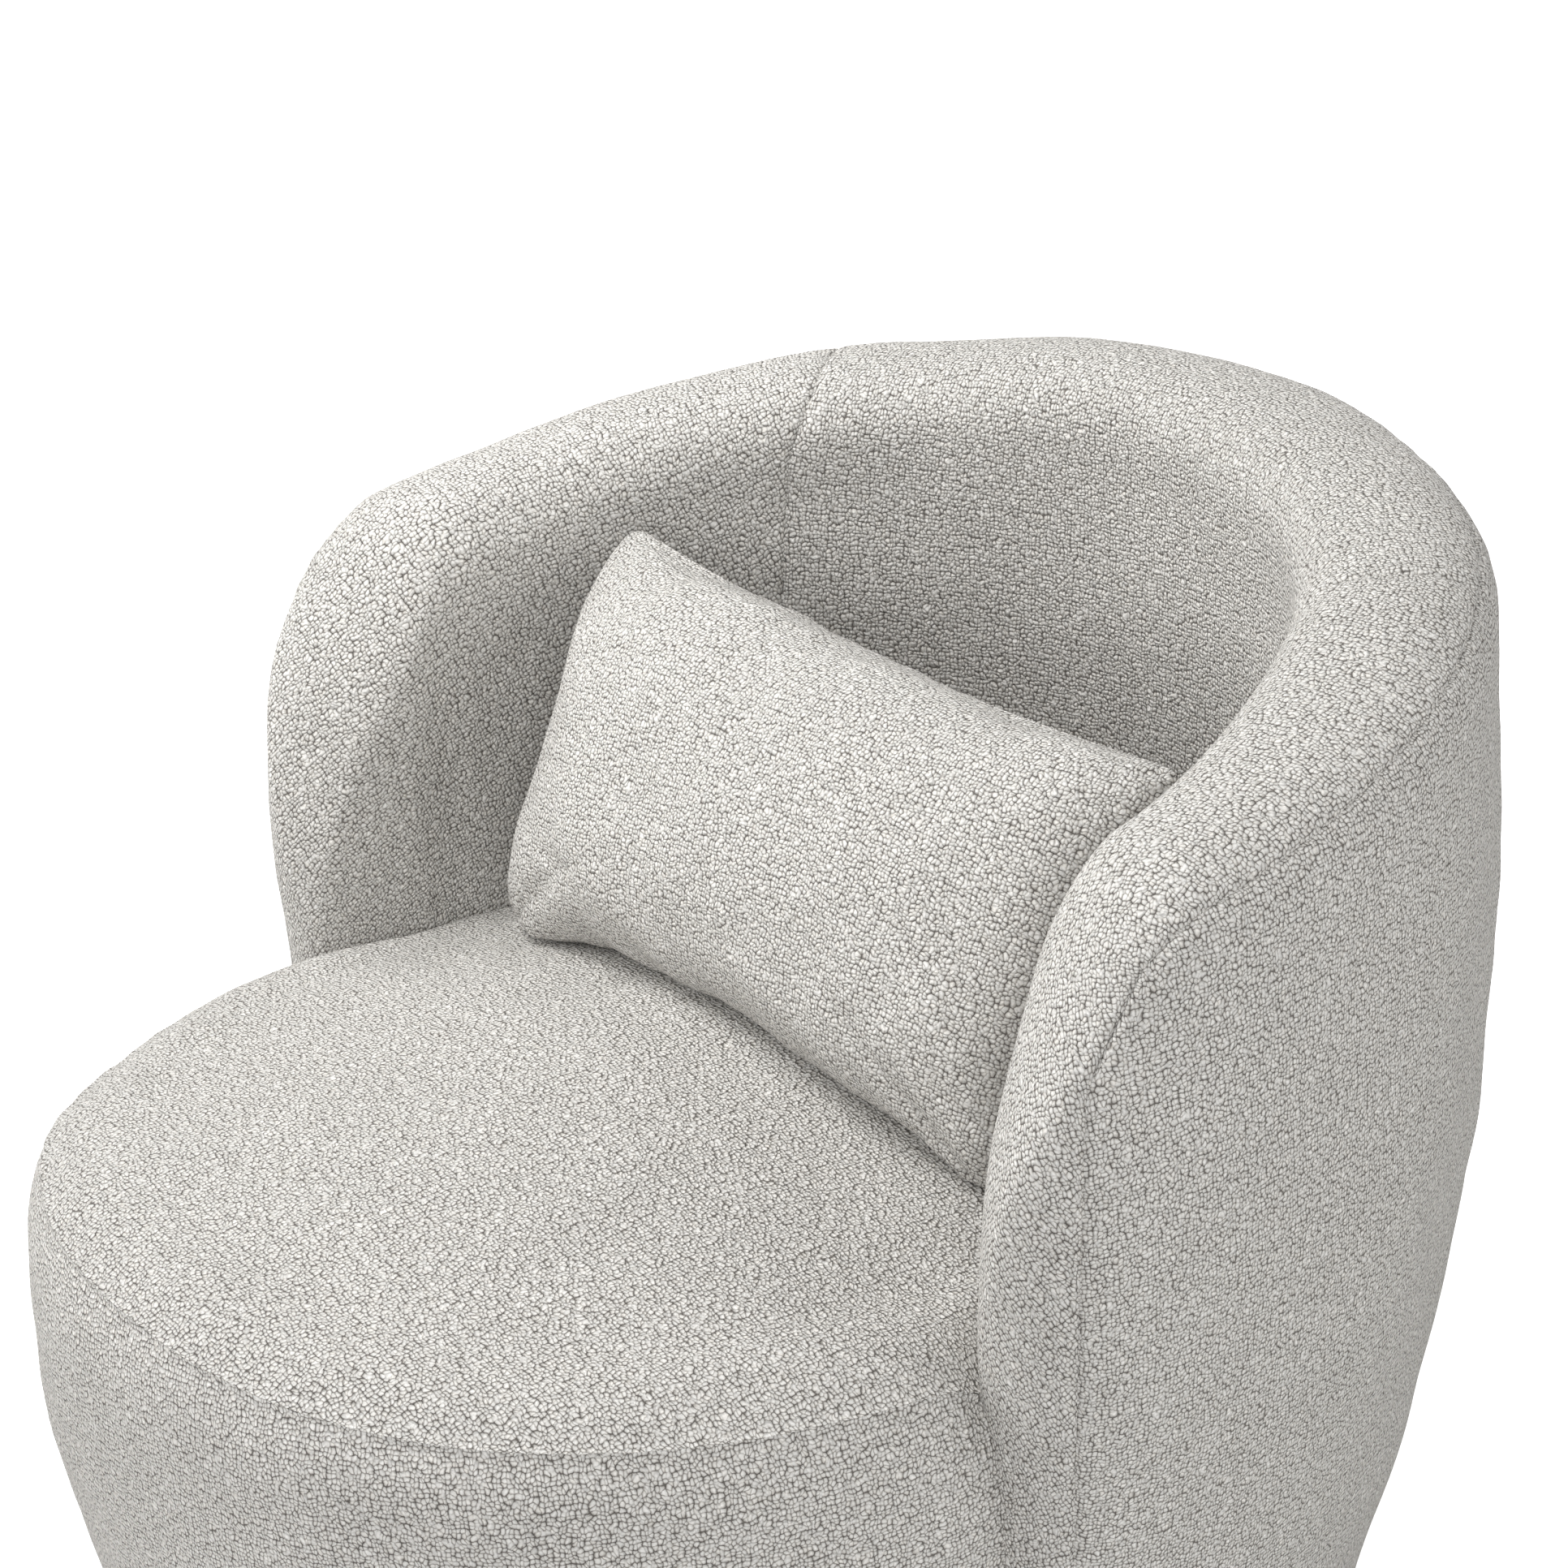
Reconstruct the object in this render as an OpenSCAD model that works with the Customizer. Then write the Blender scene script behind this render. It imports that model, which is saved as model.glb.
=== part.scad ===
// Tub chair: a padded tub shell on a timber frame, a tight crowned seat that bulges forward of
// the arms, a loose lumbar cushion, and a low swivel plinth set back under the body.
// X runs to the sitter's left, the front faces -Y and Z is up. The origin is on the floor,
// on the swivel axis, midway between the front of the seat and the back of the tub.

/* [Tub shell] */
// Width over the arms at their widest
overall_w = 780; // [750:5:810]
// Depth from the front of the seat to the back of the tub
overall_d = 854; // [832:2:872]
// Height of the back
back_h = 754; // [738:1:770]
// Height of an arm where its front begins to round over
arm_h = 645; // [630:1:660]
// Depth of the curved part of the back
back_curve_d = 434; // [422:2:442]
// Length of an arm in front of the curved back
arm_len = 128; // [120:1:136]
// How far an arm draws in toward its front
arm_draw = 33; // [26:1:38]
// Thickness of the padded back
back_th = 116; // [110:1:122]
// Thickness of a padded arm
arm_th = 93; // [90:1:100]
// Height of the rounding along the top edge
top_round = 46; // [42:1:52]
// Length of the rounded front end of an arm, seen from above
nose_len = 64; // [60:1:68]
// Length over which the top of an arm rounds down to its front
nose_run = 122; // [114:1:132]
// Height over which it rounds down
nose_drop = 266; // [250:1:280]
// Height at which the tub is widest
widest_h = 497; // [480:1:515]
// How far the tub would draw in from there down to the floor
foot_draw = 83; // [72:1:92]
// How far the top of the tub leans in
top_lean = 16; // [8:1:22]

/* [Seat] */
// Distance of the seat's sides inward from the chair's widest, inside the tub wall
seat_side_in = 61; // [56:1:67]
// Distance behind the chair's middle at which the seat is widest
seat_mid_y = -40; // [-50:1:-30]
// Height of the seat top where its rounded edge begins
seat_h = 413; // [408:1:420]
// Rise of the seat's crown above that
seat_crown = 38; // [32:1:44]
// Height of the seat's rounded edge
seat_round = 72; // [69:1:76]
// How far the seam above the front panel lies below the height of the seat top
seam_drop = 23; // [18:1:28]
// How far the seat front would draw in down to the floor
front_draw = 64; // [58:1:72]

/* [Lumbar cushion] */
// Width of the lumbar cushion between its corners
cushion_w = 450; // [434:2:466]
// Height of the lumbar cushion between its corners
cushion_h = 260; // [248:2:272]
// Thickness of the lumbar cushion at its middle
cushion_t = 146; // [132:2:154]
// Lean of the lumbar cushion from upright, in degrees
cushion_lean = 25; // [21:1:28]
// How far the top edge sags between its corners
cushion_sag = 4; // [0:1:10]
// How far the bottom edge rises between its corners, over the crown of the seat
cushion_rise = 24; // [18:1:30]
// Distance of the cushion's middle behind the chair's middle
cushion_y = 32; // [20:2:44]

/* [Covers and padding] */
// Thickness of the boucle cover
cover_t = 3; // [2.5:0.5:4]
// Depth of the inside padding's inner face below the surface
inner_pad_t = 36; // [30:1:40]
// Depth of the padding over the top rail
top_pad_t = 24; // [20:1:28]
// Depth of the thin padding on the outside
outer_pad_t = 12; // [10:1:14]
// Depth of the padding in front of the arm's timber
nose_pad_t = 34; // [30:1:38]
// Thickness of the fibre wrap under the seat cover
wrap_t = 9; // [6:1:12]
// Thickness of the felt over the springs
felt_t = 6; // [4:1:8]

/* [Frame] */
// Thickness of the plywood
ply_t = 18; // [15:1:21]
// Height of the top rail
rail_h = 44; // [40:1:50]
// Thickness of the fibreboard round the outside
board_t = 3; // [2:0.5:4]
// How far the seat frame's underside lies below the height of the seat top
frame_drop = 95; // [89:1:101]
// Depth of a post under the seat frame
post_d = 58; // [50:1:64]
// Distance of the front board behind the widest line of the seat front
front_inset = 68; // [66:1:72]
// Width of the seat frame between the front board and the opening
seat_rail_w = 45; // [40:1:50]
// Thickness of the curved front board
front_board_t = 12; // [9:1:15]
// Width of a webbing strap
strap_w = 50; // [40:2:56]
// Thickness of a webbing strap
strap_t = 1.6; // [1.2:0.2:2]

/* [Springs] */
// Diameter of the spring wire
wire_d = 4; // [3:0.5:4.5]
// Width of a zigzag spring
spring_w = 42; // [36:2:46]
// Length of one zigzag
spring_pitch = 44; // [40:2:50]
// Distance between neighbouring springs
spring_gap = 78; // [72:2:84]
// Thickness of a spring clip round the wire
clip_t = 1.5; // [1:0.25:2]
// Width of a spring clip
clip_w = 22; // [18:1:26]

/* [Swivel and plinth] */
// Diameter of the plinth
plinth_d = 470; // [440:5:500]
// Height of the plinth
plinth_t = 38; // [32:1:42]
// Diameter of a glide
glide_d = 26; // [22:1:32]
// Height of a glide
glide_t = 6; // [4:1:8]
// Side of the square swivel plates
plate_w = 300; // [280:5:310]
// Thickness of a swivel plate
plate_t = 3; // [2.5:0.5:4]
// Diameter of the bearing balls
ball_d = 6; // [5:0.5:7]
// Diameter of the ring of balls
race_d = 225; // [210:5:240]
// Diameter of the swivel pin
pin_d = 24; // [20:1:28]
// Diameter of the bolts through the upper plate
bolt_d = 8; // [6:1:8]
// Height of a bolt head
bolt_head_t = 3.5; // [3:0.25:4]
// Diameter of the screws through the lower plate
screw_d = 5; // [4:0.5:6]
// Length of those screws
screw_l = 20; // [16:1:24]
// Thickness of the swivel pin's collars
pin_collar_t = 4; // [3:0.5:5]

/* [Hidden] */
// Clearance between neighbouring soft and timber pieces
gap = 0.3;
// Radial running clearance of the swivel
run_gap = 0.05;
// Overrun of every cut
over = 1;
// How far the covers hang below the base board
skirt_drop = 6;
// Clearance between the timber frame and the curved boards round it
rib_gap = 2;
// Thickness of the dust cover
dust_t = 1;
// How far a spring end lies on the seat frame, and the depth of the clip over it
spring_bearing = 14;
clip_d = 12;
// Distance of the felt's edge inside the seat's outline
felt_inset = 20;
// Distance of the webbing straps from the padding in front of them
strap_gap = 3;
// How far the front board reaches round the seat, in degrees
front_board_reach = 80;
// Margin of the bolts and screws from the plates' edges
plate_margin = 18;
// Bevel of the plinth's edges
plinth_bevel = 3;
// Inset of the cushion cover's inner face at its seam, and of the filling inside it
seam_in = 4;
fill_in = 6;

// Exponents of the curved outlines, which have no unit
fall_power = 1.09;
nose_bulge = 2.3;
nose_power = 1.75;
top_power = 2.4;
foot_power = 1.95;
seat_power = 2.36;
edge_power = 2.5;
crown_power = 1.7;
front_power = 1.58;
thin_power = 1.2;
side_power = 3.2;
end_power = 2.6;
bulge_power = 0.45;
edge_crowd_power = 1.5;

// Rows of a wall section: below the seat, above it, round the top, and the same outside
LOW_ROWS = 3;
WALL_ROWS = 6;
ARC_ROWS = 10;
LAST_ROW = 2 * WALL_ROWS + ARC_ROWS;
SEAM_ROW = WALL_ROWS + 8;
// Stations along one side, from the middle of the back to the tip of the arm
CURVE_STEPS = 9;
ARM_STEPS = 4;
NOSE_STEPS = 5;
ARM_STATION = CURVE_STEPS + ARM_STEPS;
TIP_STATION = ARM_STATION + NOSE_STEPS;
SEAM_STATION = 5;
NOSE_SEAM_STATION = ARM_STATION + 1;
// Station from which the inside of an arm's front comes down past the seat
FOOT_STATION = ARM_STATION + 3;
// Rows of the seat from its crown down, and its steps round
CROWN_SHARES = [0, 0.3, 0.55, 0.75, 0.9, 1];
CROWN_ROWS = len(CROWN_SHARES) - 1;
ROUND_ROWS = 6;
SEAM_ROUND_ROW = 4;
DROP_ROWS = 4;
SEAT_LAST = CROWN_ROWS + ROUND_ROWS + DROP_ROWS;
SEAT_SEAM_ROW = CROWN_ROWS + SEAM_ROUND_ROW;
SEAT_SIDE_ROW = CROWN_ROWS + ROUND_ROWS;
SEAT_WRAP_ROW = SEAT_SIDE_ROW - 1;
SEAT_STEPS = 36;
FRONT_STEPS = 20;
// Steps at each end of the front cover that have no padding behind them
SPARE_COLS = 1;
// Lean of the back seams, as a share of the curve, the row at which they stand straight, and the
// rows over which they lean
seam_lean_share = 0.06;
LEAN_MID_ROW = WALL_ROWS + ARC_ROWS / 2 - 1;
LEAN_ROWS = ARC_ROWS / 2 + 1;
// Setting back of the arm fronts, as a share of the wall's drawing in
tip_draw_share = 1;
// Least height of the top rounding at the tip of an arm, as a share of its full height
tip_round_share = 0.25;
// How far the cushion's ends bow out and its long edges draw in, as shares of its size
end_bow_share = 0.03;
edge_draw_share = 0.06;
// Heights of the webbing straps between the seat and the top of the front rib
STRAP_HEIGHT_SHARES = [0.05, 0.45, 0.9];
// Section of the top rail: places across it, and heights below its top as shares of its bevel
RAIL_ACROSS_SHARES = [-1, -1, -0.5, 0.5, 1, 1];
RAIL_BEVEL_SHARES = [1, 0.15, 0.15, 1];
// Sizes that follow from the bolts, screws, balls and pin
bolt_head_share = 1.7;
nut_flange_share = 2.5;
screw_head_share = 2;
race_w_share = 2.5;
race_h_share = 0.33;
cage_share = 0.16;
collar_share = 1.5;
GLIDES = 6;
BALLS = 24;
SPRINGS_EACH_SIDE = 2;

half_w = overall_w / 2;
half_d = overall_d / 2;
seat_w = overall_w - 2 * seat_side_in;
seam_h = seat_h - seam_drop;
frame_h = seat_h - frame_drop;
curve_y = half_d - back_curve_d;
tip_y = curve_y - arm_len;

// Heights, from the floor up
lower_plate_z = glide_t + plinth_t;
upper_plate_z = lower_plate_z + plate_t + ball_d;
base_z = upper_plate_z + plate_t;
base_top = base_z + ply_t;
skirt_z = base_z - skirt_drop;
frame_top = frame_h + ply_t;
spring_z = frame_top + clip_t + gap;
felt_z = spring_z + wire_d + clip_t + 2 * gap;
tuck_z = felt_z;
foam_z = felt_z + felt_t + gap;
seat_side_z = seat_h - seat_round;

// Depths below the surface: inside, top, outside, front tip, and how far below the skirt
SURFACE = [0, 0, 0, 0, 0];
COVER_BACK = [cover_t, cover_t, cover_t, cover_t, 0];
pad_in = cover_t + gap;
PAD_FACE = [pad_in, pad_in, pad_in, pad_in, 0];
PAD_BACK = [inner_pad_t, top_pad_t, outer_pad_t, nose_pad_t, 0];
board_in = outer_pad_t + gap;
frame_in = board_in + board_t + gap;
strap_in = inner_pad_t + strap_gap;
WALL_CUT = [-gap, -gap, -gap, -gap, over];

// Shared shape functions
function clamp01(v) = max(0, min(1, v));
function arch(k, p) = pow(max(0, 1 - pow(clamp01(k), p)), 1 / p);
function sgn_pow(v, p) = sign(v) * pow(abs(v), p);

// Place along one side: 0 is the middle of the back, 1 the end of its curve, 2 the start of the
// rounded arm front and 3 the tip, drawn back by d
function side_y(u, d = 0) =
    u <= 1 ? curve_y + back_curve_d * cos(90 * u)
    : u <= 2 ? curve_y - (arm_len - nose_len) * (u - 1)
    : tip_y + d + (nose_len - d) * (1 - sin(90 * (u - 2)));
function arm_share(y) = clamp01((curve_y - y) / arm_len);
function side_x(u, d = 0) =
    u <= 1 ? half_w * sin(90 * u) : half_w - arm_draw * pow(arm_share(side_y(u, d)), 2);
function side_normal(u, d = 0) =
    let (v = u <= 1 ? [back_curve_d * sin(90 * u), half_w * cos(90 * u)]
        : [arm_len, -2 * arm_draw * arm_share(side_y(u, d))]) v / norm(v);
function wall_th(u, d = 0) =
    let (share = (u <= 1 ? u : 1 + arm_share(side_y(u, d))) / 2)
    back_th + (arm_th - back_th) * pow(share, thin_power);
function nose_share(u) = u <= 2 ? 1 : arch(sin(90 * (u - 2)), nose_power);

// Height of the top edge at a place y, for a surface d below the cover
function top_at(y, d = 0) =
    let (fall = clamp01((half_d - y) / (half_d - tip_y)), k = 1 - (y - tip_y - d) / (nose_run - d))
    back_h - (back_h - arm_h) * pow(fall, fall_power) - d
    - (nose_drop - d) * (1 - arch(k, nose_bulge));

// How far the whole wall is drawn in at a height z
function draw_in(z) =
    foot_draw * pow(clamp01((widest_h - z) / widest_h), foot_power)
    + top_lean * pow(clamp01((z - widest_h) / (back_h - widest_h)), 2);

// How far the front of an arm is set back at a height z
function tip_back(y, z) = tip_draw_share * draw_in(z) * arm_share(y);

// Height of a row of the wall below the top rounding
function row_z(r, arc_z, below) =
    r == 0 ? skirt_z - below
    : r <= LOW_ROWS ? skirt_z + (tuck_z - skirt_z) * r / LOW_ROWS
    : tuck_z + (arc_z - tuck_z) * (r - LOW_ROWS) / (WALL_ROWS - LOW_ROWS);

// The back seams lean: the row decides how far a station near them moves along the curve
function seam_shift(u, j) =
    let (us = SEAM_STATION / CURVE_STEPS, w = u <= us ? u / us : u <= 1 ? (1 - u) / (1 - us) : 0)
    seam_lean_share * w * max(-1, min(1, (LEAN_MID_ROW - j) / LEAN_ROWS));
function station_u(i) =
    i <= CURVE_STEPS ? i / CURVE_STEPS
    : i <= ARM_STATION ? 1 + (i - CURVE_STEPS) / ARM_STEPS
    : 2 + (i - ARM_STATION) / NOSE_STEPS;

// A point of the tub wall at a station, a row and a set of depths
function wall_point(i, j, depth) =
    let (
        u0 = station_u(abs(i)), u = u0 + seam_shift(u0, j), d = depth[3],
        half = (wall_th(u, d) - depth[0] - depth[2]) / 2, mid = -(depth[2] + half),
        g = nose_share(u), rise = (top_round - depth[1]) * max(g, tip_round_share),
        y = side_y(u, d), arc_z = top_at(y, d) + (d - depth[1]) * g - rise,
        a = 180 * (WALL_ROWS + ARC_ROWS - j) / ARC_ROWS,
        inside = j <= WALL_ROWS, outside = j >= WALL_ROWS + ARC_ROWS,
        z = inside ? row_z(j, arc_z, depth[4])
            : outside ? row_z(LAST_ROW - j, arc_z, depth[4])
            : arc_z + rise * pow(sin(a), 2 / top_power),
        across = inside ? -half : outside ? half : half * sgn_pow(cos(a), 2 / top_power),
        o = mid + across * g - draw_in(z), n = side_normal(u, d)
    ) [(i < 0 ? -1 : 1) * (side_x(u, d) + n[0] * o), y + n[1] * o + tip_back(y, z), z];
function wall_grid(i0, i1, depth) =
    [for (i = [i0:i1]) [for (j = [0:LAST_ROW]) wall_point(i, j, depth)]];

// A point of the seat at an angle round it (0 at the front) and a row, d below the cover
rear_reach = half_d - back_th / 2 - seat_mid_y;
front_reach = half_d + seat_mid_y;
function seat_inset(z, d) =
    d + front_draw * pow(clamp01((seat_side_z - z) / seat_side_z), front_power);
function seat_outline(phi, inset, z, share = 1) =
    let (a = (seat_w / 2 - inset) * share,
        b = ((cos(phi) > 0 ? front_reach : rear_reach) - inset) * share)
    [-a * sgn_pow(sin(phi), 2 / seat_power),
     seat_mid_y - b * sgn_pow(cos(phi), 2 / seat_power), z];
// The rows of the rounded edge are spaced so that one of them runs along the seam
seam_angle = acos(pow(1 - (seat_h - seam_h) / seat_round, edge_power / 2));
function round_angle(k) =
    k <= SEAM_ROUND_ROW ? seam_angle * k / SEAM_ROUND_ROW
    : seam_angle + (90 - seam_angle) * (k - SEAM_ROUND_ROW) / (ROUND_ROWS - SEAM_ROUND_ROW);
function seat_point(phi, j, d) =
    j <= CROWN_ROWS
    ? seat_outline(phi, seat_round, seat_h - d + seat_crown * (1 - pow(CROWN_SHARES[j], crown_power)),
        CROWN_SHARES[j])
    : j <= CROWN_ROWS + ROUND_ROWS
    ? let (a = round_angle(j - CROWN_ROWS), r = seat_round - d,
        z = seat_h - d - r * (1 - pow(cos(a), 2 / edge_power)))
        seat_outline(phi, d + r * (1 - pow(sin(a), 2 / edge_power)), z)
    : let (z = seat_side_z + (skirt_z - seat_side_z) * (j - CROWN_ROWS - ROUND_ROWS) / DROP_ROWS)
        seat_outline(phi, seat_inset(z, d), z);
function seat_grid(d) =
    [for (i = [0:SEAT_STEPS - 1]) [for (j = [0:SEAT_LAST]) seat_point(360 * i / SEAT_STEPS, j, d)]];
function front_grid(d) =
    [for (i = [0:FRONT_STEPS])
        [for (j = [0:SEAT_LAST]) seat_point((i - FRONT_STEPS / 2) * 360 / SEAT_STEPS, j, d)]];

// Height of the seat's top face under a point, used to rest the cushion on it
function seat_surface(x, y) =
    let (b = (y < seat_mid_y ? front_reach : rear_reach) - seat_round,
        k = pow(pow(abs(x) / (seat_w / 2 - seat_round), seat_power)
            + pow(abs(y - seat_mid_y) / b, seat_power), 1 / seat_power))
    seat_h + seat_crown * (1 - pow(min(k, 1), crown_power));

// A solid between two grids of points that have the same rows and columns. cells says which cells
// it covers. A folded grid closes on itself at its last column, a wrapped one joins its last
// column to its first, and a pole gathers the first row into one point.
module grid_sheet(face, back, cells, fold = false, wrap = false, pole = false) {
    cols = len(face);
    rows = len(face[0]);
    last = cols - 1;
    steps = wrap ? cols : last;
    function id(i, j, side) =
        side * cols * rows + (pole && j == 0 ? 0 : (i % cols) * rows)
        + (fold && i == last ? min(j, rows - 1 - j) : j);
    function has(i, j) =
        j < 0 || j > rows - 2 ? false
        : wrap ? cells((i + cols) % cols, j)
        : i < 0 ? false
        : i < last ? cells(i, j)
        : fold ? cells(last - 1, rows - 2 - j) : false;
    function quad(a, b, c, d) =
        [for (t = [[a, b, c], [a, c, d]]) if (t[0] != t[1] && t[1] != t[2] && t[2] != t[0]) t];
    faces = [
        for (i = [0:steps - 1], j = [0:rows - 2]) if (has(i, j)) each concat(
            quad(id(i, j, 0), id(i, j + 1, 0), id(i + 1, j + 1, 0), id(i + 1, j, 0)),
            quad(id(i, j, 1), id(i + 1, j, 1), id(i + 1, j + 1, 1), id(i, j + 1, 1)),
            has(i, j - 1) ? []
                : quad(id(i, j, 0), id(i + 1, j, 0), id(i + 1, j, 1), id(i, j, 1)),
            has(i, j + 1) ? []
                : quad(id(i, j + 1, 0), id(i, j + 1, 1), id(i + 1, j + 1, 1), id(i + 1, j + 1, 0)),
            has(i - 1, j) ? []
                : quad(id(i, j, 0), id(i, j, 1), id(i, j + 1, 1), id(i, j + 1, 0)),
            has(i + 1, j) ? []
                : quad(id(i + 1, j, 0), id(i + 1, j + 1, 0), id(i + 1, j + 1, 1), id(i + 1, j, 1)))
    ];
    polyhedron(concat([for (c = face) each c], [for (c = back) each c]), faces);
}

// The whole tub wall as one block, cut out of the seat's layers
module wall_block(depth) {
    grid = wall_grid(-TIP_STATION, TIP_STATION, depth);
    cols = len(grid);
    rows = LAST_ROW + 1;
    function id(i, j) = i * rows + (i == 0 || i == cols - 1 ? min(j, rows - 1 - j) : j);
    function quad(a, b, c, d) =
        [for (t = [[a, b, c], [a, c, d]]) if (t[0] != t[1] && t[1] != t[2] && t[2] != t[0]) t];
    polyhedron([for (c = grid) each c], [
        for (i = [0:cols - 2]) each concat(
            [for (j = [0:rows - 2]) each i < TIP_STATION
                ? quad(id(i + 1, j), id(i, j), id(i, j + 1), id(i + 1, j + 1))
                : quad(id(i, j), id(i, j + 1), id(i + 1, j + 1), id(i + 1, j))],
            quad(id(i, rows - 1), id(i, 0), id(i + 1, 0), id(i + 1, rows - 1)))
    ]);
}

// A dome of the seat's rows down to a flat underside
module seat_dome(d, low_z) {
    rows = SEAT_WRAP_ROW + 1;
    function foot(phi) =
        let (a = seat_point(phi, rows - 1, d), b = seat_point(phi, rows, d),
            share = (a[2] - low_z) / (a[2] - b[2])) a + (b - a) * share;
    function ring(j) = [for (i = [0:SEAT_STEPS - 1])
        let (phi = 360 * i / SEAT_STEPS) j < rows ? seat_point(phi, j, d) : foot(phi)];
    function id(i, j) = 1 + (j - 1) * SEAT_STEPS + i % SEAT_STEPS;
    polyhedron(concat([ring(0)[0]], [for (j = [1:rows]) each ring(j)]), concat(
        [for (i = [0:SEAT_STEPS - 1]) [0, id(i, 1), id(i + 1, 1)]],
        [for (i = [0:SEAT_STEPS - 1], j = [1:rows - 1]) each
            [[id(i, j), id(i, j + 1), id(i + 1, j + 1)], [id(i, j), id(i + 1, j + 1), id(i + 1, j)]]],
        [[for (i = [SEAT_STEPS - 1:-1:0]) id(i, rows)]]));
}

// Pieces of the tub wall
module back_sheet(face, back, row0, row1) {
    grid_sheet(wall_grid(-SEAM_STATION, SEAM_STATION, face),
        wall_grid(-SEAM_STATION, SEAM_STATION, back),
        function (i, j) j >= row0 && j < row1);
}
module inside_arm_sheet(face, back) {
    grid_sheet(wall_grid(SEAM_STATION, TIP_STATION, face), wall_grid(SEAM_STATION, TIP_STATION, back),
        function (i, j) (j >= LOW_ROWS && j < SEAM_ROW)
            || (j >= SEAM_ROW && i >= NOSE_SEAM_STATION - SEAM_STATION)
            || (j < LOW_ROWS && i >= FOOT_STATION - SEAM_STATION),
        fold = true);
}
module outside_arm_sheet(face, back) {
    grid_sheet(wall_grid(SEAM_STATION, NOSE_SEAM_STATION, face),
        wall_grid(SEAM_STATION, NOSE_SEAM_STATION, back),
        function (i, j) j >= SEAM_ROW);
}
module sided(left) {
    if (left) children();
    else mirror([1, 0, 0]) children();
}

module inside_back_cover() {
    color("gainsboro") back_sheet(SURFACE, COVER_BACK, LOW_ROWS, SEAM_ROW);
}
module inside_arm_cover(left) {
    color("whitesmoke") sided(left) inside_arm_sheet(SURFACE, COVER_BACK);
}
module outside_back_cover() {
    color("lightgray") back_sheet(SURFACE, COVER_BACK, SEAM_ROW, LAST_ROW);
}
module outside_arm_cover(left) {
    color("gainsboro") sided(left) outside_arm_sheet(SURFACE, COVER_BACK);
}
module inside_back_pad() {
    color("khaki") back_sheet(PAD_FACE, PAD_BACK, LOW_ROWS, SEAM_ROW);
}
module inside_arm_pad(left) {
    color("palegoldenrod") sided(left) inside_arm_sheet(PAD_FACE, PAD_BACK);
}
module outside_back_pad() {
    color("khaki") back_sheet(PAD_FACE, PAD_BACK, SEAM_ROW, LAST_ROW);
}
module outside_arm_pad(left) {
    color("palegoldenrod") sided(left) outside_arm_sheet(PAD_FACE, PAD_BACK);
}

// Fibreboard bent round the outside of the ribs, in three sheets
BOARD_FACE = [inner_pad_t, top_pad_t, board_in, nose_pad_t, 0];
BOARD_BACK = [inner_pad_t, top_pad_t, board_in + board_t, nose_pad_t, 0];
module outer_board(i0, i1) {
    color("peru")
        grid_sheet(wall_grid(i0, i1, BOARD_FACE), wall_grid(i0, i1, BOARD_BACK),
            function (i, j) j >= WALL_ROWS + ARC_ROWS);
}
module outer_side_board(left) {
    sided(left) outer_board(SEAM_STATION, ARM_STATION);
}

// Place of a station on the outside, where the ribs stand
function frame_u(i) = station_u(i) + seam_shift(station_u(i), LAST_ROW);

// Outlines of the flat boards: the outer face of the frame, the inner face of the tub wall
// carried on to the front, and the seat's own outline
function frame_line(z) =
    let (outer = [for (i = [-TIP_STATION:TIP_STATION])
        let (u = frame_u(abs(i)), d = nose_pad_t + rib_gap, y = side_y(u, d),
            half = (wall_th(u, d) - inner_pad_t - rib_outer_in) / 2,
            o = half * (nose_share(u) - 1) - rib_outer_in - draw_in(z), n = side_normal(u, d))
        [(i < 0 ? -1 : 1) * (side_x(u, d) + n[0] * o), y + n[1] * o + tip_back(y, z)]],
        foot = [foot_point(z, nose_pad_t, inner_pad_t), foot_point(z, 0, 0)])
    concat([for (k = [1, 0]) [-foot[k][0], foot[k][1]]], outer, foot);
// Where the arm's own padding comes down past the seat: its edge, behind which the boards stay
function foot_point(z, d, depth) =
    let (u = station_u(FOOT_STATION), n = side_normal(u, d), y = side_y(u, d), g = nose_share(u),
        outer = depth == 0 ? 0 : outer_pad_t, half = (wall_th(u, d) - depth - outer) / 2,
        o = -(outer + half) - half * g - draw_in(z))
    [side_x(u, d) + n[0] * o, y + n[1] * o + tip_back(y, z) + rib_gap];
function inner_point(i, z, out) =
    let (u0 = station_u(abs(i)), u = u0 + seam_shift(u0, LOW_ROWS), n = side_normal(u),
        y = side_y(u), o = out - wall_th(u) / 2 * (1 + nose_share(u)) - draw_in(z))
    [(i < 0 ? -1 : 1) * (side_x(u) + n[0] * o), y + n[1] * o + tip_back(y, z)];
function inner_line(z, out) =
    let (side = [for (i = [-TIP_STATION:TIP_STATION]) inner_point(i, z, out)])
    concat([[side[0][0], -half_d]], side, [[-side[0][0], -half_d]]);
function seat_line(inset) =
    [for (i = [0:SEAT_STEPS - 1])
        let (p = seat_outline(360 * i / SEAT_STEPS, inset, 0)) [p[0], p[1]]];
function seat_front_line(inset, reach) =
    [for (a = [-reach:360 / SEAT_STEPS:reach])
        let (p = seat_outline(a, inset, 0)) [p[0], p[1]]];
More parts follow.
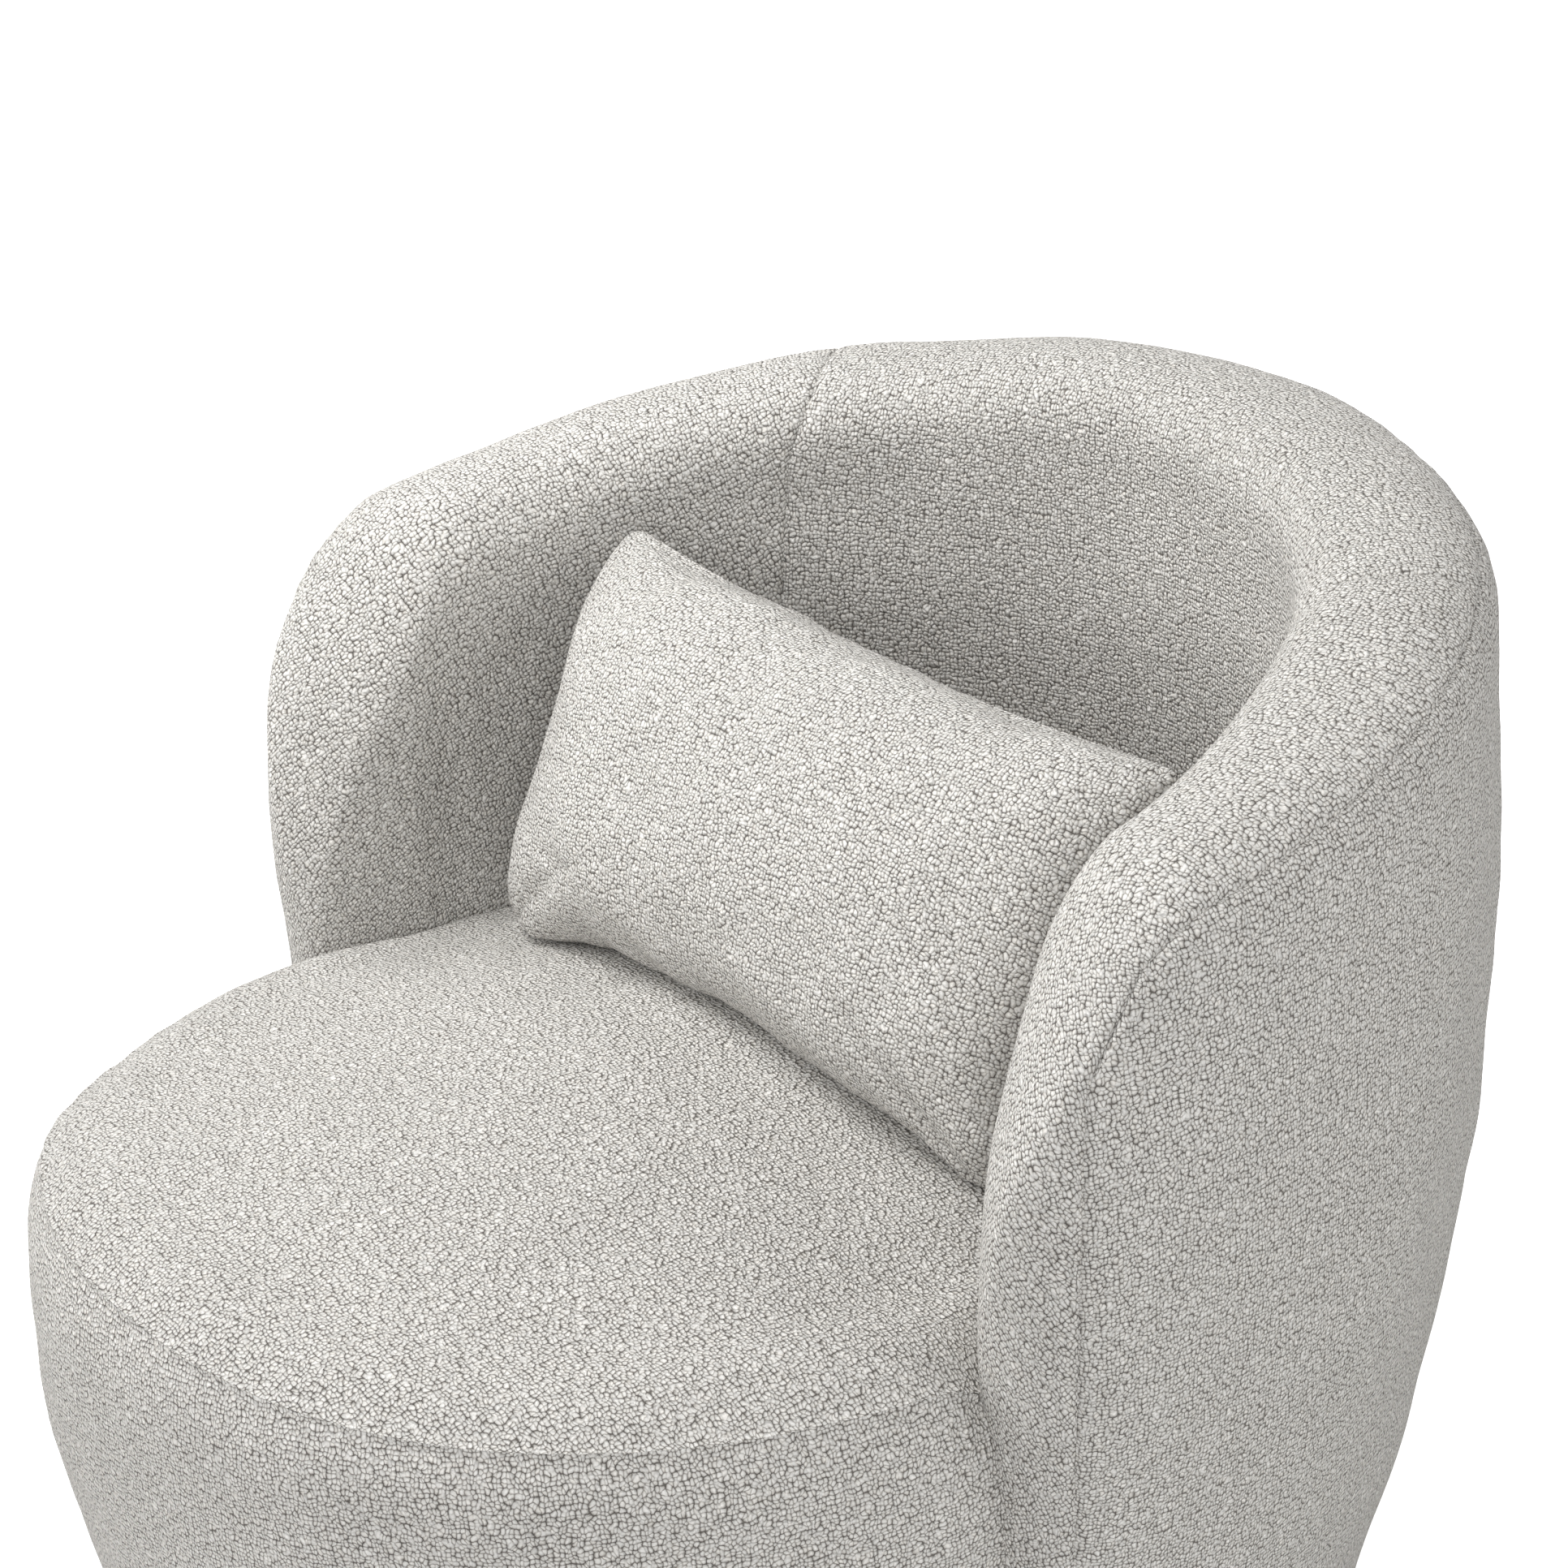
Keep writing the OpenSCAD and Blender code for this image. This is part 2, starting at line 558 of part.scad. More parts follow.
// The boards leave room for the front padding beside the arms and for the arms' own padding,
// which comes down past the seat at the tips
module flat_board(z, t) {
    stations = [FOOT_STATION:TIP_STATION];
    clear_x = min([for (i = stations) inner_point(i, z, -gap)[0]]);
    clear_y = min([for (i = stations) inner_point(i, z + t, -gap)[1]]) - rib_gap;
    difference() {
        translate([0, 0, z]) linear_extrude(t) polygon(frame_line(z));
        intersection() {
            translate([0, 0, z - over]) linear_extrude(t + 2 * over)
                polygon(inner_line(z + t, rib_gap));
            translate([-half_w, -half_d, z - over])
                cube([overall_w, half_d + seat_mid_y + gap, t + 2 * over]);
        }
    }
    intersection() {
        translate([0, 0, z]) linear_extrude(t) polygon(seat_line(front_inset + gap));
        union() {
            translate([-clear_x, -half_d, z]) cube([2 * clear_x, overall_d, t]);
            translate([-half_w, -half_d, z]) cube([overall_w, half_d + clear_y, t]);
        }
    }
}

// An upright board that stands in line with the wall's thickness
module upright(u, z0, z1, inner, outer) {
    steps = 4;
    n = side_normal(abs(u));
    function o(z, depth) = -depth - draw_in(z);
    function zs(k) = z0 + (z1 - z0) * k / steps;
    mirror([u < 0 ? 1 : 0, 0, 0])
        translate([side_x(abs(u)), side_y(abs(u)), 0])
            rotate([90, 0, atan2(n[1], n[0])])
                linear_extrude(ply_t, center = true)
                    polygon(concat(
                        [for (k = [0:steps]) [o(zs(k), inner), zs(k)]],
                        [for (k = [steps:-1:0]) [o(zs(k), outer), zs(k)]]));
}
// The foremost rib stands just behind the arm's rounded front
front_u = 2 - (ply_t / 2 + rib_gap) / (arm_len - nose_len);
// and the side rib just behind the end of the back's curve
curve_end_u = 1 - (ply_t / 2 + rib_gap) / (back_curve_d * PI / 2);
POST_PLACES = [0, frame_u(3), frame_u(6), curve_end_u];
rib_inner_in = strap_in + strap_t + gap;
rib_outer_in = frame_in + rib_gap;
function rail_top(y) =
    top_at(y - tip_back(y, arm_h), nose_pad_t + rib_gap) + nose_pad_t - top_pad_t;
function rib_top(u) =
    let (y = side_y(abs(u)))
    min([for (s = [-1, 0, 1]) rail_top(y + s * ply_t / 2)]) - rail_h - gap;
module rib(u) {
    color("burlywood")
        upright(u, frame_top, rib_top(u), wall_th(abs(u)) - rib_inner_in, rib_outer_in);
}
module lower_posts() {
    color("burlywood") for (u = POST_PLACES, s = u == 0 ? [1] : [-1, 1])
        upright(s * u, base_top, frame_h, rib_outer_in + post_d, rib_outer_in);
}

// The rail runs on top of the ribs, shaped under the top padding
RAIL_STATIONS = [for (i = [0:ARM_STATION - 1]) station_u(i), front_u + ply_t / 2 / (arm_len - nose_len)];
function rail_section(u, s) =
    let (
        inner = rib_inner_in, outer = rib_outer_in,
        half = (wall_th(u) - inner - outer) / 2, mid = -(outer + half),
        top = rail_top(side_y(u)), bevel = top_round - top_pad_t, n = side_normal(u),
        down = concat([rail_h], bevel * RAIL_BEVEL_SHARES, [rail_h])
    ) [for (k = [0:len(down) - 1])
        let (z = top - down[k], o = mid + half * RAIL_ACROSS_SHARES[k] - draw_in(z))
        [s * (side_x(u) + n[0] * o), side_y(u) + n[1] * o, z]];
module top_rail() {
    n = len(RAIL_STATIONS);
    rings = concat([for (k = [n - 1:-1:1]) rail_section(RAIL_STATIONS[k], -1)],
        [for (k = [0:n - 1]) rail_section(RAIL_STATIONS[k], 1)]);
    m = len(RAIL_ACROSS_SHARES);
    last = len(rings) - 1;
    color("tan") polyhedron([for (r = rings) each r], concat(
        [[for (k = [m - 1:-1:0]) k]],
        [for (i = [0:last - 1], k = [0:m - 1])
            let (a = i * m + k, b = i * m + (k + 1) % m, c = b + m, d = a + m)
            each [[a, b, c], [a, c, d]]],
        [[for (k = [0:m - 1]) last * m + k]]));
}

// Webbing straps across the inside of the ribs
strap_top = rib_top(front_u) - strap_w / 2;
module back_webbing() {
    function strap_point(i, z, depth) =
        let (u = station_u(abs(i)), n = side_normal(u), o = -(wall_th(u) - depth) - draw_in(z))
        [(i < 0 ? -1 : 1) * (side_x(u) + n[0] * o), side_y(u) + n[1] * o, z];
    function strap_grid(z, depth) =
        [for (i = [-ARM_STATION + 1:ARM_STATION - 1])
            [for (s = [-1, 1]) strap_point(i, z + s * strap_w / 2, depth)]];
    for (share = STRAP_HEIGHT_SHARES) {
        z = frame_top + strap_w / 2 + (strap_top - frame_top - strap_w / 2) * share;
        color("dimgray") grid_sheet(strap_grid(z, strap_in), strap_grid(z, strap_in + strap_t),
            function (i, j) true);
    }
}

// Flat boards and the front of the frame
module base_board() {
    color("burlywood") difference() {
        flat_board(base_z, ply_t);
        translate([0, 0, base_z - over])
            cylinder(d = collar_d + 2 * plate_t, h = ply_t + 2 * over, $fn = 48);
        for (p = plate_corners) translate([p[0], p[1], base_z - over])
            cylinder(d = nut_d + 2 * run_gap, h = ply_t + 2 * over, $fn = 32);
    }
}
module seat_frame() {
    color("burlywood") difference() {
        flat_board(frame_h, ply_t);
        translate([0, 0, frame_h - over]) linear_extrude(ply_t + 2 * over)
            polygon(seat_line(front_inset + seat_rail_w));
    }
}
function reversed(list) = [for (k = [len(list) - 1:-1:0]) list[k]];
module front_board() {
    face_in = front_inset + gap;
    color("tan") translate([0, 0, base_top]) linear_extrude(frame_h - base_top)
        polygon(concat(seat_front_line(face_in, front_board_reach),
            reversed(seat_front_line(face_in + front_board_t, front_board_reach))));
}
module dust_cover() {
    color("black") difference() {
        flat_board(base_z - dust_t, dust_t);
        translate([-plate_w / 2 - over, -plate_w / 2 - over, base_z - dust_t - over])
            cube([plate_w + 2 * over, plate_w + 2 * over, dust_t + 2 * over]);
    }
}

// Zigzag springs across the opening of the seat frame, held in clips
spring_xs = [for (k = [-SPRINGS_EACH_SIDE:SPRINGS_EACH_SIDE]) k * spring_gap];
function opening_y(x, front) =
    let (inset = front_inset + seat_rail_w, a = seat_w / 2 - inset,
        b = (front ? front_reach : rear_reach) - inset,
        reach = b * pow(1 - pow(abs(x) / a, seat_power), 1 / seat_power))
    seat_mid_y + (front ? -reach : reach);
// The end nearer the side is where the frame's edge is closest to the middle
function spring_end(x, front) =
    opening_y(abs(x) + spring_w / 2, front) + (front ? -spring_bearing : spring_bearing);
// Outline of a wire that follows a path, at a distance h on each side of it
function band(path, h) =
    let (n = len(path),
        unit = [for (k = [0:n - 2]) (path[k + 1] - path[k]) / norm(path[k + 1] - path[k])],
        side = [for (k = [0:n - 1])
            let (a = unit[max(0, k - 1)], b = unit[min(n - 2, k)], p = [-a[1], a[0]], q = [-b[1], b[0]])
            (p + q) / (1 + p * q)])
    concat([for (k = [0:n - 1]) path[k] + h * side[k]],
        [for (k = [n - 1:-1:0]) path[k] - h * side[k]]);
module zigzag(x) {
    y0 = spring_end(x, true);
    y1 = spring_end(x, false);
    runs = floor((y1 - y0) / (spring_pitch / 2));
    step = (y1 - y0) / runs;
    w = spring_w / 2 - wire_d / 2;
    path = [for (k = [0:runs]) let (s = k % 2 == 0 ? 1 : -1, y = y0 + k * step)
        each concat([[x - s * (w - wire_d), y], [x + s * (w - wire_d), y]],
            k == runs ? [] : [[x + s * w, y + wire_d], [x + s * w, y + step - wire_d]])];
    translate([0, 0, spring_z]) linear_extrude(wire_d) polygon(band(path, wire_d / 2));
}
module seat_springs() {
    color("silver") for (x = spring_xs) zigzag(x);
}
module spring_clips() {
    color("gray") for (x = spring_xs, front = [true, false])
        translate([x - clip_w / 2, spring_end(x, front) - clip_d / 2, frame_top]) difference() {
            cube([clip_w, clip_d, wire_d + 2 * clip_t + 2 * gap]);
            translate([-over, clip_d / 2 - wire_d / 2 - gap, clip_t])
                cube([clip_w + 2 * over, wire_d + 2 * gap, wire_d + 2 * gap]);
        }
}
module spring_felt() {
    color("darkgray") translate([0, 0, felt_z]) intersection() {
        linear_extrude(felt_t) polygon(seat_line(felt_inset));
        linear_extrude(felt_t) polygon(inner_line(felt_z, -2 * gap));
    }
}

// Soft layers of the seat, cut to the tub wall they are pressed against
module seat_foam() {
    color("khaki") difference() {
        seat_dome(cover_t + wrap_t + 2 * gap, foam_z);
        wall_block(WALL_CUT);
    }
}
module seat_wrap() {
    color("white") difference() {
        grid_sheet(seat_grid(cover_t + gap), seat_grid(cover_t + gap + wrap_t),
            function (i, j) j < SEAT_WRAP_ROW, wrap = true, pole = true);
        wall_block(WALL_CUT);
    }
}
module seat_cover() {
    color("whitesmoke") difference() {
        grid_sheet(seat_grid(0), seat_grid(cover_t), function (i, j) j < SEAT_SEAM_ROW,
            wrap = true, pole = true);
        wall_block(WALL_CUT);
    }
}
module front_cover() {
    color("gainsboro") difference() {
        grid_sheet(front_grid(0), front_grid(cover_t), function (i, j) j >= SEAT_SEAM_ROW);
        wall_block(WALL_CUT);
    }
}
module front_pad() {
    face = front_grid(cover_t + gap);
    back = [for (i = [0:FRONT_STEPS]) [for (j = [0:SEAT_LAST])
        seat_outline((i - FRONT_STEPS / 2) * 360 / SEAT_STEPS, front_inset, face[i][j][2])]];
    color("khaki") difference() {
        grid_sheet(face, back, function (i, j)
            j >= SEAT_SIDE_ROW && i >= SPARE_COLS && i < FRONT_STEPS - SPARE_COLS);
        wall_block(WALL_CUT);
    }
}

// Lumbar cushion: two panels sewn edge to edge round a filling
CUSHION_COLS = 8;
CUSHION_ROWS = 6;
function crowded(k, n) = sign(k) * (1 - pow(1 - abs(k) / n, edge_crowd_power));
function cushion_bulge(u, v) =
    pow((1 - pow(abs(u), side_power)) * (1 - pow(abs(v), end_power)), bulge_power);
// A point of one face: u across, v up, shrunk by inset in plan and by thin in thickness
function cushion_point(u, v, side, inset, thin, rim = 0) =
    let (
        x = u * (cushion_w / 2 - inset) * (1 + end_bow_share * (1 - v * v)),
        up = v * (cushion_h / 2 - inset) * (1 - edge_draw_share * (1 - u * u))
            - (v > 0 ? cushion_sag : cushion_rise) * (1 - u * u) * v,
        out = side * max(rim, (cushion_t / 2 - thin) * cushion_bulge(u, v))
    ) [x, out * cos(cushion_lean) + up * sin(cushion_lean),
        up * cos(cushion_lean) - out * sin(cushion_lean)];
function cushion_grid(side, inset, thin, rim = 0, flip = 1) =
    [for (a = [-CUSHION_COLS:CUSHION_COLS]) [for (b = [-CUSHION_ROWS:CUSHION_ROWS])
        cushion_point(flip * crowded(a, CUSHION_COLS), crowded(b, CUSHION_ROWS),
            side, inset, thin, rim)]];

// The cushion comes to rest on the seat: its height is worked out from its own points
cushion_points = [for (side = [-1, 1], c = cushion_grid(side, 0, 0)) each c];
cushion_z = gap
    + max([for (p = cushion_points) seat_surface(p[0], cushion_y + p[1]) - p[2]]);

module lumbar_front_cover() {
    color("whitesmoke") translate([0, cushion_y, cushion_z])
        grid_sheet(cushion_grid(-1, 0, 0), cushion_grid(-1, seam_in, cover_t), function (i, j) true);
}
module lumbar_back_cover() {
    color("gainsboro") translate([0, cushion_y, cushion_z])
        grid_sheet(cushion_grid(1, 0, 0, flip = -1), cushion_grid(1, seam_in, cover_t, flip = -1),
            function (i, j) true);
}
module lumbar_fill() {
    color("white") translate([0, cushion_y, cushion_z])
        grid_sheet(cushion_grid(-1, seam_in + fill_in, cover_t + gap, fill_in / 2),
            cushion_grid(1, seam_in + fill_in, cover_t + gap, fill_in / 2), function (i, j) true);
}

// Plinth and swivel
plate_corner = plate_w / 2 - plate_margin;
plate_corners = [for (x = [-1, 1], y = [-1, 1]) [x * plate_corner, y * plate_corner]];
ball_z = lower_plate_z + plate_t + ball_d / 2;
race_w = race_w_share * ball_d;
race_h = race_h_share * ball_d;
nut_d = bolt_d + 2 * clip_t;
collar_d = collar_share * pin_d;
screw_head_d = screw_head_share * screw_d;

module glides() {
    color("black") for (k = [0:GLIDES - 1]) rotate([0, 0, 360 * k / GLIDES])
        translate([plinth_d / 2 - glide_d, 0, 0]) cylinder(d = glide_d, h = glide_t, $fn = 32);
}
module plinth() {
    r = plinth_d / 2;
    color("black") difference() {
        rotate_extrude($fn = 96) polygon([[0, glide_t], [r - plinth_bevel, glide_t],
            [r, glide_t + plinth_bevel], [r, lower_plate_z - plinth_bevel],
            [r - plinth_bevel, lower_plate_z], [0, lower_plate_z]]);
        translate([0, 0, lower_plate_z - pin_collar_t - gap])
            cylinder(d = collar_d + 2 * gap, h = pin_collar_t + gap + over, $fn = 48);
        for (p = plate_corners) translate([p[0], p[1], lower_plate_z - screw_l])
            cylinder(d = screw_d + 2 * run_gap, h = screw_l + over, $fn = 24);
    }
}
// A square plate with its race on the side s faces (1 is up)
module swivel_plate(z, s) {
    difference() {
        union() {
            translate([-plate_w / 2, -plate_w / 2, z]) cube([plate_w, plate_w, plate_t]);
            translate([0, 0, s > 0 ? z + plate_t : z - race_h]) difference() {
                cylinder(d = race_d + race_w, h = race_h, $fn = 96);
                translate([0, 0, -over])
                    cylinder(d = race_d - race_w, h = race_h + 2 * over, $fn = 96);
            }
        }
        translate([0, 0, ball_z]) rotate_extrude($fn = 96)
            translate([race_d / 2, 0]) circle(d = ball_d + 2 * run_gap, $fn = 32);
        translate([0, 0, z - over])
            cylinder(d = pin_d + 2 * run_gap, h = plate_t + 2 * over, $fn = 64);
        children();
    }
}
module lower_swivel_plate() {
    color("silver") swivel_plate(lower_plate_z, 1)
        for (p = plate_corners) translate([p[0], p[1], lower_plate_z])
            cylinder(d1 = screw_d + 2 * run_gap, d2 = screw_head_d + 2 * run_gap, h = plate_t,
                $fn = 32);
}
module upper_swivel_plate() {
    color("silver") swivel_plate(upper_plate_z, -1)
        for (p = plate_corners) translate([p[0], p[1], upper_plate_z - over])
            cylinder(d = bolt_d + 2 * run_gap, h = plate_t + 2 * over, $fn = 32);
}
module lower_plate_screws() {
    color("dimgray") for (p = plate_corners) translate([p[0], p[1], lower_plate_z]) union() {
        cylinder(d1 = screw_d, d2 = screw_head_d, h = plate_t, $fn = 32);
        translate([0, 0, -screw_l + over]) cylinder(d = screw_d, h = screw_l, $fn = 24);
    }
}
module bearing_balls() {
    color("silver") for (k = [0:BALLS - 1]) rotate([0, 0, 360 * k / BALLS])
        translate([race_d / 2, 0, ball_z]) sphere(d = ball_d, $fn = 24);
}
module ball_cage() {
    t = cage_share * ball_d;
    color("ivory") translate([0, 0, ball_z - t / 2]) difference() {
        cylinder(d = race_d + race_w, h = t, $fn = 96);
        translate([0, 0, -over]) cylinder(d = race_d - race_w, h = t + 2 * over, $fn = 96);
        for (k = [0:BALLS - 1]) rotate([0, 0, 360 * k / BALLS])
            translate([race_d / 2, 0, -over]) cylinder(d = ball_d + gap, h = t + 2 * over, $fn = 24);
    }
}
module swivel_pin() {
    color("gray") union() {
        translate([0, 0, lower_plate_z - pin_collar_t])
            cylinder(d = collar_d, h = pin_collar_t, $fn = 48);
        translate([0, 0, lower_plate_z - over])
            cylinder(d = pin_d, h = base_z - lower_plate_z + gap + 2 * over, $fn = 64);
        translate([0, 0, base_z + gap]) cylinder(d = collar_d, h = pin_collar_t, $fn = 48);
    }
}
module plate_bolts() {
    color("dimgray") for (p = plate_corners) translate([p[0], p[1], upper_plate_z]) union() {
        translate([0, 0, -bolt_head_t])
            cylinder(d = bolt_head_share * bolt_d, h = bolt_head_t, $fn = 32);
        translate([0, 0, -over]) cylinder(d = bolt_d, h = plate_t + ply_t + over, $fn = 32);
    }
}
module tee_nuts() {
    color("gainsboro") for (p = plate_corners) translate([p[0], p[1], base_z]) difference() {
        union() {
            cylinder(d = nut_d, h = ply_t + over, $fn = 32);
            translate([0, 0, ply_t]) cylinder(d = nut_flange_share * bolt_d, h = clip_t, $fn = 32);
        }
        translate([0, 0, -over])
            cylinder(d = bolt_d + 2 * run_gap, h = ply_t + clip_t + 2 * over, $fn = 32);
    }
}

glides();
plinth();
lower_swivel_plate();
lower_plate_screws();
ball_cage();
bearing_balls();
swivel_pin();
upper_swivel_plate();
plate_bolts();
tee_nuts();
base_board();
dust_cover();
lower_posts();
front_board();
seat_frame();
rib(0);  // rib_back
rib(POST_PLACES[1]);  // rib_rear_left
rib(-POST_PLACES[1]);  // rib_rear_right
rib(POST_PLACES[2]);  // rib_corner_left
rib(-POST_PLACES[2]);  // rib_corner_right
rib(POST_PLACES[3]);  // rib_side_left
rib(-POST_PLACES[3]);  // rib_side_right
rib(front_u);  // rib_arm_left
rib(-front_u);  // rib_arm_right
top_rail();
back_webbing();
outer_board(-SEAM_STATION, SEAM_STATION);  // outer_board_back
outer_side_board(true);  // outer_board_left
outer_side_board(false);  // outer_board_right
seat_springs();
spring_clips();
spring_felt();
seat_foam();
seat_wrap();
seat_cover();
front_pad();
front_cover();
inside_back_pad();
inside_arm_pad(true);  // inside_arm_pad_left
inside_arm_pad(false);  // inside_arm_pad_right
outside_back_pad();
outside_arm_pad(true);  // outside_arm_pad_left
outside_arm_pad(false);  // outside_arm_pad_right
inside_back_cover();
inside_arm_cover(true);  // inside_arm_cover_left
inside_arm_cover(false);  // inside_arm_cover_right
outside_back_cover();
outside_arm_cover(true);  // outside_arm_cover_left
outside_arm_cover(false);  // outside_arm_cover_right
lumbar_front_cover();
lumbar_back_cover();
lumbar_fill();
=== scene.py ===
import math

import bmesh
import bpy
import numpy as np
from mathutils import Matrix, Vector
from mathutils.kdtree import KDTree


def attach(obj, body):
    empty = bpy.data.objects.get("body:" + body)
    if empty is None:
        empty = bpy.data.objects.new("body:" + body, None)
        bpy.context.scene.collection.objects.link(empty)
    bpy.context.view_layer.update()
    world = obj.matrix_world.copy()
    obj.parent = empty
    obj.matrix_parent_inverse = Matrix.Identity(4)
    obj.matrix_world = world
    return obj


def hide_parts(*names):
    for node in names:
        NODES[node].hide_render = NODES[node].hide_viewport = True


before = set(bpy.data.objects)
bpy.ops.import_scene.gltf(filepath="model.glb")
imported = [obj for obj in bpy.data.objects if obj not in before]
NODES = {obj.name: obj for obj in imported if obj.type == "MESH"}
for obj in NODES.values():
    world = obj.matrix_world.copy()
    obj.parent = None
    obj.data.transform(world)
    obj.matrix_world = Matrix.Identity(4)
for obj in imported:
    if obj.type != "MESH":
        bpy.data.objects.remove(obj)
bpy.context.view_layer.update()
MM = 0.001

# Sizes of the chair in millimetres, the same as in its CAD source
HALF_W, HALF_D = 390.0, 427.0
BACK_H, ARM_H, BACK_CURVE_D, ARM_LEN, ARM_DRAW = 754.0, 645.0, 434.0, 128.0, 33.0
BACK_TH, ARM_TH, TOP_ROUND, NOSE_LEN, NOSE_RUN, NOSE_DROP = 116.0, 93.0, 46.0, 64.0, 122.0, 266.0
WIDEST_H, FOOT_DRAW, TOP_LEAN = 497.0, 83.0, 16.0
SKIRT_Z, TUCK_Z = 50.0, 343.9
CURVE_Y = HALF_D - BACK_CURVE_D
TIP_Y = CURVE_Y - ARM_LEN
SEAT_W, SEAT_MID_Y, SEAT_H, SEAT_CROWN, SEAT_ROUND = 658.0, -40.0, 413.0, 38.0, 72.0
SEAM_H, FRONT_DRAW, SEAT_SIDE_Z = 390.0, 64.0, 341.0
CUSHION_W, CUSHION_H, CUSHION_T, CUSHION_LEAN = 450.0, 260.0, 146.0, 25.0
CUSHION_SAG, CUSHION_RISE, CUSHION_Y, REST_GAP = 4.0, 24.0, 32.0, 0.3

# Stations round the wall, from the middle of the back to an arm's front, and those of the seams
BACK_END, ARM_END, TIP = 9, 13, 18
BACK_SEAM, NOSE_SEAM, FOOT = 5, 14, 16
# Rows over the wall's section, from its inner foot over the top to its outer foot
TUCK_ROW, ARC_IN, TOP_ROW, SEAM_ROW, ARC_OUT, LAST_ROW = 3, 6, 11, 14, 16, 22
# Powers of the rounded forms: 2 is a plain circle, and more is fuller. The seat's outline has one of
# its own, REST_POWER, where the cushion's rest on it is measured
TOP_POWER, SEAT_POWER, EDGE_POWER, REST_POWER, NOSE_BULGE, NOSE_POWER = 2.4, 2.36, 2.5, 2.4, 2.3, 1.75
# Powers of the slopes: 1 is straight, and more leaves the change for later
FOOT_POWER, CROWN_POWER, FRONT_POWER, FALL_POWER, THIN_POWER = 1.95, 1.7, 1.58, 1.09, 1.2
# The least share of its height that the wall's round top keeps at an arm's front
LEAST_ROUND = 0.25
# At an arm's front the outer seam runs back by so many stations at most, and turns over so many rows
TURN_STATIONS, TURN_ROWS = 1.5, 2.6
# The back's seams lean: by this share, about this row and over these rows
LEAN_SHARE, LEAN_ROW, LEAN_ROWS = 0.06, 10, 6
# How far the outer half of an arm's front lies ahead of its middle, and the inner half behind it
NOSE_SKEW = 7.0

# Spacing of the wall's grid lines, of those round the seat's top panel, and of the seat's others
CELL, ROUND_CELL, SEAT_CELL = 7.5, 8.5, 8.0
# Places at which a curve is measured
SAMPLES = 4001
# Extra grid lines beside a seam, at shares of a distance near it. Others stay CLEAR times that distance
# from the seam, and a stretch between two seams has extra lines where it is over ROOM times as long
NEAR, BESIDE, CLEAR, ROOM = 5.0, (0.22, 0.5, 0.95), 1.3, 2.5
# Points within WELD of each other share a normal, and those within MERGE become one
WELD, MERGE = 0.05, 0.02
# The cloth's end is turned under: how far in and up each of its last rows lies
HEM = ((1.5, -1.2), (6.0, -1.4), (13.0, 1.0))
HEM_ROWS = len(HEM)
# Over this height above the hem, the surface's unevenness grows from a share to the whole
CALM_H, CALM_SHARE = 20, 0.3
FLATTEN_STEPS = 4

# Camera
AZ, EL = math.radians(51.9), math.radians(23.19)
SENSOR, LENS, DISTANCE = 36, 97.195, 2.03223
AIM = Vector((0.24467, -0.17943, 0.71578))
away = Vector((math.sin(AZ) * math.cos(EL), -math.cos(AZ) * math.cos(EL), math.sin(EL)))
cam_data = bpy.data.cameras.new("camera")
cam_data.sensor_width = SENSOR
cam_data.lens = LENS
cam = bpy.data.objects.new("camera", cam_data)
bpy.context.scene.collection.objects.link(cam)
cam.location = AIM + DISTANCE * away
cam.rotation_euler = (-away).to_track_quat("-Z", "Y").to_euler()
bpy.context.scene.camera = cam


# Numbers and curves
def clamp01(v):
    return np.clip(v, 0, 1)


def smooth(v):
    """An even step from 0 to 1."""
    v = clamp01(v)
    return v * v * (3 - 2 * v)


def arch(k, p):
    """A rounded fall from 1 at 0 to 0 at 1, fuller for a greater power."""
    return np.maximum(0, 1 - clamp01(k) ** p) ** (1 / p)


def signed_power(v, p):
    return np.sign(v) * np.abs(v) ** p


def unit(n):
    return n / np.maximum(np.linalg.norm(n, axis=-1, keepdims=True), 1e-9)


def ripple(p, wavelength, seed, waves=14):
    """Smooth, seeded unevenness of about unit size over points p in millimetres."""
    rng = np.random.default_rng(seed)
    d = rng.normal(size=(waves, 3))
    d /= np.linalg.norm(d, axis=1)[:, None]
    k = 2 * math.pi / (wavelength * rng.uniform(0.7, 1.5, waves))
    ph = rng.uniform(0, 2 * math.pi, waves)
    return np.sin(p @ (d * k[:, None]).T + ph).sum(-1) / math.sqrt(waves / 2)


def groove(d, depth=1.3, width=1.5, roll=1.1, reach=7.0):
    """How far the surface sinks at a distance from a seam."""
    return depth * np.exp(-((d / width) ** 2)) + roll * np.exp(-d / reach)


def puckers(along, wander, d, reach, size):
    """Small folds across a seam, by the angle along it and the distance from it."""
    return np.sin(along + wander) * np.exp(-d / reach) * size


def calm(z):
    """How much of its unevenness a surface has at a height, since the hem is held straight."""
    return CALM_SHARE + (1 - CALM_SHARE) * smooth((z - SKIRT_Z) / CALM_H)


# The tub wall, by station round the chair and row over its section
def station_u(i):
    """0 to 1 round the back, 1 to 2 along an arm, and 2 to 3 round its front."""
    return np.where(i <= BACK_END, i / BACK_END, np.where(
        i <= ARM_END, 1 + (i - BACK_END) / (ARM_END - BACK_END), 2 + (i - ARM_END) / (TIP - ARM_END)))


def seam_shift(u, j):
    """How far the back's seams lean at a row."""
    us = BACK_SEAM / BACK_END
    w = np.where(u <= us, u / us, np.where(u <= 1, (1 - u) / (1 - us), 0))
    return LEAN_SHARE * w * np.clip((LEAN_ROW - j) / LEAN_ROWS, -1, 1)


def seam_turn(j):
    """How far the outer seam's station runs back where it turns down from the top edge."""
    return np.where(j >= SEAM_ROW, (1 - clamp01((j - SEAM_ROW) / TURN_ROWS)) ** 3,
                    smooth((j - TOP_ROW) / (SEAM_ROW - TOP_ROW)))


